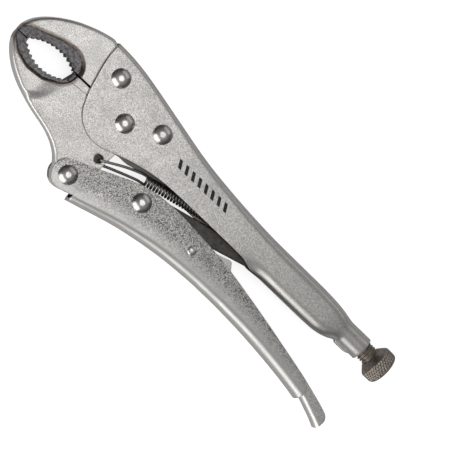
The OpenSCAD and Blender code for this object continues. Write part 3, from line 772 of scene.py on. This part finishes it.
def movable_jaw():
    """The lower jaw, with its eye around the jaw pivot, its ear for the lower handle and the spring's hole."""
    flank = smooth_path(LOWER_FLANK, 0.5)
    ear = arc_points(HANDLE_PIVOT, EAR_R, 22.6, -172, 60)
    inside_edge = smooth_path([[8.46, -3.08], [7.5, -12], [7, -20], [6.4, -30], ear[0]], 0.6)
    eye = arc_points((0, 0), EYE_R, slit_end(SLIT_LOW, EYE_R), -20, 60)
    slit_start = [SLIT_FRONT, SLIT_LOW]
    slit = along([slit_start, eye[0]], 40)
    teeth = tooth_row(*LOWER_ARC)[::-1]
    mouth_end = along([teeth[-1], [SLIT_FRONT - 0.5, -1.2], slit_start], 12)
    tip = along([flank[-1], teeth[0]], 16)
    paths = (slit, eye, inside_edge, ear, flank, tip, teeth, mouth_end)
    outline = np.concatenate([path[:-1] for path in paths])[::-1]
    outer = np.concatenate([ear[20:], flank])
    fine_edges = (slit, tip, inside_edge)

    def face(p):
        taper = np.interp(p[:, 0], [-70, -52], [TIP_HALF, NOSE_HALF])
        ramp = NOSE_HALF - (NOSE_HALF - JAW_HALF) * ease(np.linalg.norm(p - RAMP[0], axis=1), *RAMP[1:])
        ramp = ramp - (ramp - JAW_HALF) * ease(p[:, 0], -46, -33)
        return smooth_min(taper, ramp, 0.3)

    def height(p):
        across = (p[:, 1] - LAND_AT[1]) - (p[:, 0] - LAND_AT[0]) * math.tan(LAND_ANGLE)
        on_land = ease(p[:, 0], -35, -34) * (1 - ease(p[:, 0], -19, -18))
        groove = 1 - ease(np.abs(across - GROOVE_W / 2), 0.1, GROOVE_W / 2 + 0.05)
        ground = LAND_DEPTH * ease(across, -0.03, 0.07) + GROOVE_DEPTH * groove
        h = with_rim(p, face(p)) - ground * on_land
        return h - edge_drop(p, [outer], EDGE_ROUND) - edge_drop(p, fine_edges, FINE_ROUND)

    land_end = LAND_AT + LAND_LENGTH * np.array([math.cos(LAND_ANGLE), math.sin(LAND_ANGLE)])
    land_line = along([LAND_AT, land_end], 50)
    rows = edge_rows([outer], EDGE_ROUND) + edge_rows(fine_edges, FINE_ROUND)
    rows += [land_line + [0, d] for d in (-0.05, 0.02, 0.12, 0.22, 0.33, 0.42, 0.5)]
    rows += [arc_points(RAMP[0], r, -75, 20, 60) for r in np.linspace(*RAMP[1:], 8)] + rim_rows(face)
    hole = circle_loop(SPRING_HOLE, SPRING_HOLE_R, 32)
    forging("movable_jaw", "movable_jaw", outline, [JAW_PIVOT, HANDLE_PIVOT], [hole], height, rows)


def cutter_edge(name, body, base_y, tip_y, mid_base):
    """The cutting edge along one side of the slit: a wedge that meets the other jaw's at mid-thickness."""
    xs = np.linspace(-34.6, -10.2, 60)
    reach = tip_y - base_y
    middle = base_y + reach * 0.5
    section = [(base_y, mid_base), (middle, mid_base * 0.45), (tip_y, 0.12), (tip_y, -0.12),
               (middle, -mid_base * 0.45), (base_y, -mid_base), (base_y - reach * 0.4, 0)]
    pts = [[x, y, z] for x in xs for y, z in section]
    n = len(section)
    faces = ring_faces(len(xs), n) + [list(range(n))[::-1], [len(pts) - n + k for k in range(n)]]
    if reach > 0:
        faces = [f[::-1] for f in faces]
    piece(name, pts, faces, body, [], DARK_SHADE_LOOK, 40)


# ---- toggle link

LINK_END = np.array([118.0, SCREW_Y])
LINK_END_R, LINK_EYE_R, LINK_HALF = 3.6, 6.4, 1.8


def toggle_link():
    axis = LINK_END - LINK_PIVOT
    length = float(np.linalg.norm(axis))
    ux = axis / length
    uy = np.array([-ux[1], ux[0]])
    low = smooth_path([[2.5, -5.95], [12, -5.8], [30, -3.7], [50, -3.6], [length - 1, -3.55]], 0.8)
    high = smooth_path([[length - 1, 3.55], [75, 3.9], [45, 4.7], [14, 5.85], [2.5, 5.95]], 0.8)
    end = arc_points((length, 0), LINK_END_R, -80, 80, 20)
    eye = arc_points((0, 0), LINK_EYE_R, 72, 288, 40)
    local = np.concatenate([low, end, high, eye])
    outline = LINK_PIVOT + local[:, :1] * ux + local[:, 1:] * uy
    hole = circle_loop(LINK_PIVOT, RIVET_HOLE_R, 32)
    # its near-black look is painted shade
    flat_plate("toggle_link_bar", outline, [hole], LINK_HALF, 0.5, "toggle_link", ["toggle_link"],
               DARK_SHADE_LOOK, 1.2)


# ---- rivets and pin


# radius and height of the head, radius of the shank and of the flat on the crown
LARGE_RIVET, SMALL_RIVET = (5.0, 2.4, 3.15, 1.25), (2.3, 0.9, 1.5, 0.6)


def domed_rivet(node, body, head_r, head_h, shank_r, crown_r):
    """A rivet with a polished dome on each side, each with a small flat on its crown."""
    at = centre_mm(node)[:2]
    rise = head_h - 0.22
    ball = (head_r**2 - crown_r**2 + rise**2) / (2 * rise)
    fall = math.sqrt(ball**2 - crown_r**2)
    r = np.concatenate([np.linspace(0, crown_r * 1.5, 8), np.linspace(crown_r * 1.5, head_r, 16)[1:]])
    dome = np.sqrt(np.maximum(ball**2 - r**2, 0)) + head_h - fall
    z = smooth_min(dome, np.full(len(r), head_h), 0.06)
    near = [[a, HALF_W + b] for a, b in zip(r, z)]
    near += [[head_r, HALF_W + 0.08], [head_r - 0.1, HALF_W - 0.03], [shank_r, HALF_W - 0.03]]
    profile = [[a, -b] for a, b in near] + near[::-1]
    around = 48
    rings = [np.column_stack([circle_loop(at, a, around), np.full(around, b)]) for a, b in profile[1:-1]]
    pts, faces = ring_solid(np.array(rings), [*at, profile[0][1]], [*at, profile[-1][1]])
    piece(node + "_dome", pts, faces, body, [node], RIVET_LOOK, 60)


# ---- adjusting screw

THREAD_R, THREAD_ROOT, PITCH = 5.0, 4.1, 1.5
KNOB_X0 = SCREW_X1 - 11.2
# distances behind KNOB_X0 and the radii there
KNOB_PROFILE = ((0, 0.35, 0.8, 2.2, 2.9, 3.5, 7.9, 8.6, 9.3, 9.9, 10.5, 11.0, 11.2),
                (5.3, 5.9, 6.4, 7.9, 8.6, KNOB_R, KNOB_R, 8.95, 8.5, 7.7, 6.1, 3.4, 0.9))
KNURL_DEPTH, KNURL_COUNT, KNURL_SLOPE = 0.55, 34, 0.62


def turned(name, xs, radius, around):
    """A closed solid around the screw's axis whose radius is radius(x, angle)."""
    x, a = np.meshgrid(xs, np.linspace(0, math.tau, around, endpoint=False), indexing="ij")
    r = radius(x, a)
    rings = np.stack([x, SCREW_Y + r * np.cos(a), r * np.sin(a)], -1)
    pts, faces = ring_solid(rings, [xs[0], SCREW_Y, 0], [xs[-1], SCREW_Y, 0])
    piece(name, pts, faces, "adjusting_screw", ["adjusting_screw"], SCREW_LOOK, 75)


def thread_radius(x, a):
    phase = (x / PITCH - a / math.tau) % 1
    ridge = ease(2.3 * (0.5 - np.abs(phase - 0.5)) - 0.1, 0, 1)
    tip = np.clip((x - SCREW_X0) / 1.6, 0, 1)
    return (THREAD_ROOT + (THREAD_R - THREAD_ROOT) * ridge) * (0.72 + 0.28 * tip)


def knob_radius(x, a):
    u = x - KNOB_X0
    body = np.interp(u, *KNOB_PROFILE)
    band = ease(u, 3.1, 3.7) * (1 - ease(u, 8.3, 9.0))
    lead = KNURL_SLOPE * KNURL_COUNT / (math.tau * KNOB_R)
    grooves = [2 * np.abs((a * KNURL_COUNT / math.tau + side * u * lead) % 1 - 0.5) for side in (-1, 1)]
    diamond = np.minimum(np.minimum(*grooves) * 1.25, 1)
    return body - band * KNURL_DEPTH * (1 - diamond)


def adjusting_screw():
    turned("adjusting_screw_thread", np.arange(SCREW_X0, KNOB_X0 + 0.9, PITCH / 10), thread_radius, 48)
    xs = np.concatenate([np.linspace(0, 3, 14), np.linspace(3.1, 9.0, 56), np.linspace(9.1, 11.2, 14)])
    turned("adjusting_screw_knob", KNOB_X0 + xs, knob_radius, KNURL_COUNT * 8)


# ---- tension spring

COIL_FROM, COIL_ANGLE, COIL_TURNS, COIL_PITCH = (27.6, -12.4), math.radians(13), 22, 1.69
COIL_STEPS, COIL_END = 18, COIL_TURNS * COIL_PITCH
WIRE_R, COIL_R = 0.70, 2.1


def on_coil(u, v, w):
    """A point u along the coil's axis and v and w across it, v in the pliers' plane."""
    c, s = math.cos(COIL_ANGLE), math.sin(COIL_ANGLE)
    return [COIL_FROM[0] + u * c - v * s, COIL_FROM[1] + u * s + v * c, w]


def tube(path, radius, sides):
    """A round wire along a path, with rounded ends."""
    tangent = np.gradient(path, axis=0)
    tangent /= np.linalg.norm(tangent, axis=1)[:, None]
    normal = np.cross(tangent[0], [0, 0, 1.0])
    scale = np.ones(len(path))
    scale[0] = scale[-1] = 0.75
    rings = []
    for p, ahead, r in zip(path, tangent, radius * scale):
        normal = normal - ahead * np.dot(normal, ahead)
        normal /= np.linalg.norm(normal)
        across = np.stack([normal, np.cross(ahead, normal)])
        rings.append(p + circle_loop((0, 0), r, sides) @ across)
    return ring_solid(np.array(rings), path[0] - tangent[0] * 0.2, path[-1] + tangent[-1] * 0.2)


def tension_spring():
    """One wire: both strands lead from the jaw's hole to the coil, and its tail hooks on the lug."""
    hx, hy = SPRING_HOLE
    lx, ly = SPRING_LUG
    top = JAW_HALF
    circle = circle_loop((0, 0), COIL_R, COIL_STEPS)
    count = COIL_TURNS * COIL_STEPS
    helix = [on_coil(COIL_END * i / count, *circle[i % COIL_STEPS]) for i in range(count + 1)]
    near = [on_coil(0.6, -COIL_R, 0.2), on_coil(-0.9, -COIL_R * 0.95, -1.2), on_coil(-3, -COIL_R * 0.9, -2.2),
            [hx + 8.5, hy + 1.0, -top - 0.2], [hx + 2.4, hy - 1.5, -top - 0.75]]
    through = [[hx + 0.9, hy - 1.5, -top - 0.2], [hx + 0.9, hy - 0.9, 0], [hx + 1.0, hy + 0.1, top - 0.3]]
    back = [[hx + 1.6, hy + 0.5, top + 0.75], [hx + 3.4, hy + 1.3, top + 0.75], [hx + 13, hy + 6.4, top - 1.2],
            on_coil(-3, COIL_R * 0.97, 1.7), on_coil(-0.8, COIL_R, 0.5), helix[1]]
    rear = [helix[-2], on_coil(COIL_END + 2, COIL_R * 0.8, 0.6), [lx - 5.2, ly - 0.6, 2],
            [lx - 1.2, ly - 0.2, 1.9], [lx, ly, 1.2], [lx, ly, -1.8]]
    front = smooth_path(near + through + back, 0.5)
    pts, faces = tube(np.concatenate([front[:-1], helix[1:-2], smooth_path(rear, 0.5)]), WIRE_R, 10)
    # painted shade: a near-black plug fills the spring's hole, where there is only shade
    disc = circle_loop(SPRING_HOLE, SPRING_HOLE_R - 0.01, 32)
    flat_plate("spring_hole_shade_plug", disc, [], 3.4, 0.3, "movable_jaw", [], DARK_SHADE_LOOK, 0.8)
    obj = piece("tension_spring_wire", pts, faces, None, ["tension_spring"], SPRING_LOOK, 80)
    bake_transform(obj)


# ---- looks


class Nodes:
    """A node tree over one kind of coordinates. A value is a number or another node's output."""

    def __init__(self, tree, coordinates):
        self.tree = tree
        self.point = self.node("ShaderNodeTexCoord").outputs[coordinates]

    def put(self, value, socket):
        if isinstance(value, bpy.types.NodeSocket):
            self.tree.links.new(value, socket)
        else:
            socket.default_value = value

    def node(self, kind, inputs=(), **settings):
        """A new node with its settings and its inputs, given as (name or place, value)."""
        node = self.tree.nodes.new(kind)
        for name, value in settings.items():
            setattr(node, name, value)
        for name, value in inputs:
            self.put(value, node.inputs[name])
        return node

    def noise(self, scale, detail=2.0, roughness=0.5):
        inputs = ("Scale", scale), ("Detail", detail), ("Roughness", roughness), ("Vector", self.point)
        return self.node("ShaderNodeTexNoise", inputs).outputs["Fac"]

    def span(self, value, low, high, a=0.0, b=1.0):
        """Carries a value from the range low to high over to the range a to b, and no further."""
        inputs = ("Value", value), ("From Min", low), ("From Max", high), ("To Min", a), ("To Max", b)
        return self.node("ShaderNodeMapRange", inputs).outputs["Result"]

    def math(self, kind, a, b=0.0):
        return self.node("ShaderNodeMath", ((0, a), (1, b)), operation=kind).outputs["Value"]

    def mix(self, factor, a, b):
        """The colour at a factor between two colours."""
        a, b = (c if isinstance(c, bpy.types.NodeSocket) else (*c, 1) for c in (a, b))
        return self.node("ShaderNodeMix", (("Factor", factor), (6, a), (7, b)), data_type="RGBA").outputs[2]

    def attribute(self, name):
        return self.node("ShaderNodeAttribute", attribute_name=name).outputs["Fac"]

    def axis(self, index):
        """One of the point's coordinates."""
        return self.node("ShaderNodeSeparateXYZ", (("Vector", self.point),)).outputs[index]

    def facing(self, index):
        """One part of the surface's direction in object coordinates."""
        normal = self.node("ShaderNodeTexCoord").outputs["Normal"]
        return self.node("ShaderNodeSeparateXYZ", (("Vector", normal),)).outputs[index]


class Look(Nodes):
    """A procedural material in object coordinates."""

    def __init__(self, name, metallic, roughness):
        self.mat = bpy.data.materials.new(name)
        self.mat.use_nodes = True
        super().__init__(self.mat.node_tree, "Object")
        self.bsdf = self.tree.nodes["Principled BSDF"]
        self.bsdf.inputs["Metallic"].default_value = metallic
        self.bsdf.inputs["Roughness"].default_value = roughness

    def set(self, colour, roughness=None, bump=None):
        """Sets the colour, the roughness and the relief, given as its height and depth."""
        self.put(colour, self.bsdf.inputs["Base Color"])
        if roughness is not None:
            self.put(roughness, self.bsdf.inputs["Roughness"])
        if bump is not None:
            inputs = ("Strength", 1.0), ("Distance", bump[1] * MM), ("Height", bump[0])
            self.put(self.node("ShaderNodeBump", inputs).outputs["Normal"], self.bsdf.inputs["Normal"])
        return self.mat


STRIPE_X, STRIPE_Y, STRIPE_PITCH, STRIPE_SLANT, STRIPE_SHARE = (31.5, 67.0), (2.5, 6.6), 4.4, 0.55, 0.45


def stripe_mask(look, grain):
    """Plain slanted stripes printed on the near cheek."""
    x, y, z = (look.math("DIVIDE", look.axis(k), MM) for k in range(3))
    slanted = look.math("ADD", x, look.math("MULTIPLY", y, STRIPE_SLANT))
    phase = look.math("FRACT", look.math("DIVIDE", slanted, STRIPE_PITCH))
    mask = look.math("LESS_THAN", phase, STRIPE_SHARE)
    for value, limits in ((x, STRIPE_X), (y, STRIPE_Y)):
        mask = look.math("MULTIPLY", mask, look.math("GREATER_THAN", value, limits[0]))
        mask = look.math("MULTIPLY", mask, look.math("LESS_THAN", value, limits[1]))
    mask = look.math("MULTIPLY", mask, look.math("GREATER_THAN", z, MID_Z + HALF_W - 0.3))
    return look.math("MULTIPLY", mask, look.span(grain, 0.30, 0.45, 0.7, 0.97))


GRAIN_MM, PLATED_ROUGHNESS = 0.44, 0.38
# the first of these colours is painted shade for the sheets' inner faces and cut edges; then the print's black
# and the random patches' tone
INNER_SHADE_COLOUR, PRINT_COLOUR, PATCH_COLOUR = (0.30, 0.28, 0.26), (0.012, 0.012, 0.013), (0.5, 0.49, 0.47)
# how far the painted highlight on bends leans to the light tone, and how much the painted cheek shade darkens
# the grains
BEND_HIGHLIGHT_SHARE, CHEEK_SHADE_SHARE = 0.86, 0.86
BROWN_DARK, BROWN_LIGHT = (0.30, 0.25, 0.21), (0.42, 0.37, 0.33)
BLACK_DARK, BLACK_LIGHT = (0.09, 0.086, 0.090), (0.26, 0.25, 0.25)


def plated_look(name, light, dark, grain, relief, band=False, inner=False, stripes=False, cheek_shade=False):
    """Satin plating over a blasted surface, with fine grains in colour, gloss and relief."""
    roughness = PLATED_ROUGHNESS
    look = Look(name, 1.0, roughness)
    fine = look.noise(1 / (GRAIN_MM * MM), 2.5, 0.6)
    patches = look.noise(90, 3.0, 0.55)
    speckle = look.span(fine, 0.5 - grain, 0.5 + grain)
    # painted highlight: where the surface turns away from the cheek's plane, at bends and rounded edges, the
    # grains give way to a plain lighter tone
    flat = look.span(look.math("ABSOLUTE", look.facing(2)), 0.80, 0.97)
    # painted light: on the lower handle the plain lighter tone spreads over the cheek near the web, and the
    # grains darken towards the cheek's top edge
    if cheek_shade:
        flat = look.math("MULTIPLY", flat, look.span(look.attribute("rise"), 4.0, 12.0, 0.15, 1.0))
    grainy_light = tuple(CHEEK_SHADE_SHARE * v for v in light) if cheek_shade else light
    tone = look.mix(flat, look.mix(BEND_HIGHLIGHT_SHARE, dark, light), look.mix(speckle, dark, grainy_light))
    tone = look.mix(look.span(patches, 0.35, 0.7, 0.0, 0.16), tone, PATCH_COLOUR)
    rough = look.math("ADD", look.span(fine, 0.3, 0.7, roughness + 0.07, roughness - 0.07),
                      look.span(patches, 0.3, 0.7, -0.04, 0.04))
    # painted shade: each sheet's inner face, and with it its cut edges, is darkened
    if inner:
        tone = look.mix(look.span(look.attribute("inside"), 0.04, 0.26), tone, INNER_SHADE_COLOUR)
    if stripes:
        tone = look.mix(stripe_mask(look, fine), tone, PRINT_COLOUR)
    if band:
        # heat tint and the hardened band, and also the painted shade in the spring's hole
        heat_and_hole_shade = look.attribute("band")
        mottle = look.span(look.noise(700, 3.0, 0.6), 0.35, 0.65)
        tone = look.mix(look.span(heat_and_hole_shade, 0.05, 0.45), tone, look.mix(mottle, BROWN_DARK, BROWN_LIGHT))
        tone = look.mix(look.span(heat_and_hole_shade, 0.55, 0.95), tone, look.mix(mottle, BLACK_DARK, BLACK_LIGHT))
        rough = look.math("ADD", rough, look.math("MULTIPLY", heat_and_hole_shade, 0.08))
    return look.set(tone, rough, (look.math("MULTIPLY", fine, flat), relief))


def rivet_look():
    look = Look("rivet_polish", 1.0, 0.12)
    fine = look.noise(1200, 3.0, 0.6)
    soot = look.noise(260, 2.0, 0.5)
    tone = look.mix(look.span(soot, 0.35, 0.75), (0.80, 0.78, 0.75), (0.58, 0.56, 0.53))
    return look.set(tone, look.span(fine, 0.3, 0.7, 0.20, 0.36), (fine, 0.006))


def dark_look(name, light, dark, scale, roughness, relief, metallic=0.9):
    look = Look(name, metallic, roughness)
    mottle = look.noise(scale, 4.0, 0.65)
    scuff = look.noise(scale * 0.22, 2.0, 0.5)
    tone = look.mix(look.span(mottle, 0.35, 0.68), dark, light)
    rough = look.math("ADD", look.span(mottle, 0.3, 0.7, roughness - 0.08, roughness + 0.1),
                      look.span(scuff, 0.3, 0.7, -0.05, 0.05))
    return look.set(tone, rough, (mottle, relief))


PLATE_LIGHT, PLATE_DARK = (0.81, 0.79, 0.765), (0.40, 0.385, 0.365)
SHEET_LOOK = plated_look("plated_sheet", PLATE_LIGHT, PLATE_DARK, 0.12, 0.034, inner=True)
PRINTED_LOOK = plated_look("plated_printed", PLATE_LIGHT, PLATE_DARK, 0.12, 0.034, inner=True, stripes=True)
# the lower handle: painted light on its cheek, lighter near the web's bend and darker, with darker grains,
# towards its top edge
GRIP_LOOK = plated_look("plated_grip", PLATE_LIGHT, (0.02, 0.019, 0.017), 0.13, 0.045, inner=True, cheek_shade=True)
JAW_LOOK = plated_look("plated_forging", (0.83, 0.81, 0.785), (0.42, 0.405, 0.385), 0.12, 0.030, band=True)
RIVET_LOOK = rivet_look()
# painted shade: the toggle link gets a near-black tone for the shade it lies in between the handles; the
# cutting edges in the slit and the plug in the spring's hole use it too
DARK_SHADE_LOOK = dark_look("dark_link", (0.15, 0.14, 0.125), (0.06, 0.056, 0.05), 500, 0.45, 0.02)
SCREW_LOOK = dark_look("dark_screw", (0.56, 0.50, 0.44), (0.26, 0.225, 0.195), 900, 0.38, 0.012, 1.0)
SPRING_LOOK = dark_look("spring_wire", (0.52, 0.50, 0.47), (0.30, 0.285, 0.265), 900, 0.44, 0.006, 1.0)

# ---- build

upper_handle_sheet()
boss_lips()
spring_lug()
lower_handle_sheet()
release_lever_sheet()
fixed_jaw()
movable_jaw()
cutter_edge("fixed_jaw_cutter", "upper_frame", SLIT_TOP, (SLIT_TOP + SLIT_LOW) / 2 + 0.03, 3.4)
cutter_edge("movable_jaw_cutter", "movable_jaw", SLIT_LOW, (SLIT_TOP + SLIT_LOW) / 2 - 0.03, 3.4)
toggle_link()
for rivet_node in ("front_jaw_rivet", "rear_jaw_rivet", "jaw_pivot_rivet"):
    domed_rivet(rivet_node, "upper_frame", *LARGE_RIVET)
for rivet_node in ("handle_pivot_rivet", "link_rivet"):
    domed_rivet(rivet_node, "lower_handle", *LARGE_RIVET)
domed_rivet("release_lever_pin", "lower_handle", *SMALL_RIVET)
adjusting_screw()
tension_spring()

# ---- stage, lights and camera

VIEW_TILT = math.radians(12)
TILT_TOWARDS = np.array([-0.9186, -0.3951])
VIEW_ROLL = math.radians(20.2)
TARGET = np.array([71.65, -1.07])
FRAME_MM = 220.3
CAMERA_DISTANCE = 1.8
LIGHTS_AROUND = (0.055, -0.005, 0.01)
FLOOR_HALF, FLOOR_GLOW, FLOOR_REFLECTED = 1.5, 0.8, 0.80


def camera():
    """Looks down on the mid-plane, tilted a little towards the jaws."""
    t = np.append(TILT_TOWARDS, 0) / np.linalg.norm(TILT_TOWARDS)
    back = t * math.sin(VIEW_TILT) + np.array([0, 0, math.cos(VIEW_TILT)])
    lean = t * math.cos(VIEW_TILT) - np.array([0, 0, math.sin(VIEW_TILT)])
    right = -math.cos(VIEW_ROLL) * lean + math.sin(VIEW_ROLL) * np.array([t[1], -t[0], 0])
    up = np.cross(back, right)
    cam = bpy.data.cameras.new("view")
    cam.sensor_width = 36
    cam.lens = cam.sensor_width * CAMERA_DISTANCE / (FRAME_MM * MM)
    cam.clip_start, cam.clip_end = 0.05, 20
    obj = placed("view", cam)
    m = np.eye(4)
    m[:3, 0], m[:3, 1], m[:3, 2] = right, up, back
    m[:3, 3] = np.array([*TARGET, MID_Z]) * MM + back * CAMERA_DISTANCE
    obj.matrix_world = Matrix(m.tolist())
    bpy.context.scene.camera = obj


def softbox(name, direction, distance, size, brightness):
    """A rectangular light facing the pliers, of the given brightness as seen in a mirror."""
    data = bpy.data.lights.new(name, "AREA")
    data.shape = "RECTANGLE"
    data.size, data.size_y = size
    data.energy = brightness * math.pi * size[0] * size[1]
    obj = placed(name, data)
    d = Vector(direction).normalized()
    obj.location = Vector(LIGHTS_AROUND) + d * distance
    obj.rotation_mode = "QUATERNION"
    obj.rotation_quaternion = d.to_track_quat("Z", "Y")


def studio_world(high, low, darker_side, side_share):
    """A pale surround: bright above, darker towards the horizon and on one side."""
    world = bpy.data.worlds.new("studio")
    bpy.context.scene.world = world
    world.use_nodes = True
    sky = Nodes(world.node_tree, "Generated")
    rise = sky.span(sky.axis(2), 0.20, 0.95, low, high)
    side_vector = Vector((*darker_side, 0)).normalized()
    toward = sky.node("ShaderNodeVectorMath", ((0, sky.point), (1, side_vector)), operation="DOT_PRODUCT")
    side = sky.span(toward.outputs["Value"], -0.2, 0.9, 1.0, side_share)
    background = world.node_tree.nodes["Background"]
    sky.put(sky.math("MULTIPLY", rise, side), background.inputs["Strength"])
    background.inputs["Color"].default_value = (1, 1, 1, 1)


def floor_look():
    """Glowing white to the camera, and a plain pale surface to every other ray."""
    look = Look("floor_white", 0.0, 0.7)
    look.set(look.mix(look.noise(6), (0.93, 0.93, 0.93), (0.95, 0.95, 0.95)))
    look.put((1, 1, 1, 1), look.bsdf.inputs["Emission Color"])
    look.put(FLOOR_GLOW, look.bsdf.inputs["Emission Strength"])
    pale = look.node("ShaderNodeBsdfDiffuse", (("Color", (FLOOR_REFLECTED,) * 3 + (1,)),)).outputs["BSDF"]
    seen = look.node("ShaderNodeLightPath").outputs["Is Camera Ray"]
    choice = look.node("ShaderNodeMixShader", (("Fac", seen), (1, pale), (2, look.bsdf.outputs["BSDF"])))
    look.put(choice.outputs["Shader"], look.tree.nodes["Material Output"].inputs["Surface"])
    return look.mat


camera()
softbox("key", (-0.22, -0.9, 0.46), 0.9, (1.1, 0.62), 2.0)
softbox("overhead", (-0.10, 0.08, 1.0), 0.60, (0.28, 0.40), 1.35)
softbox("fill", (0.15, 0.9, 0.42), 1.0, (1.2, 0.5), 0.45)
studio_world(0.35, 0.03, (-1.0, 0.15), 0.45)
bpy.context.scene.view_settings.view_transform = "Standard"

floor_mesh = bpy.data.meshes.new("floor")
floor_corners = [(x * FLOOR_HALF, y * FLOOR_HALF, 0) for x, y in ((-1, -1), (1, -1), (1, 1), (-1, 1))]
floor_mesh.from_pydata(floor_corners, [], [(0, 1, 2, 3)])
floor_mesh.materials.append(floor_look())
floor = placed("floor", floor_mesh)
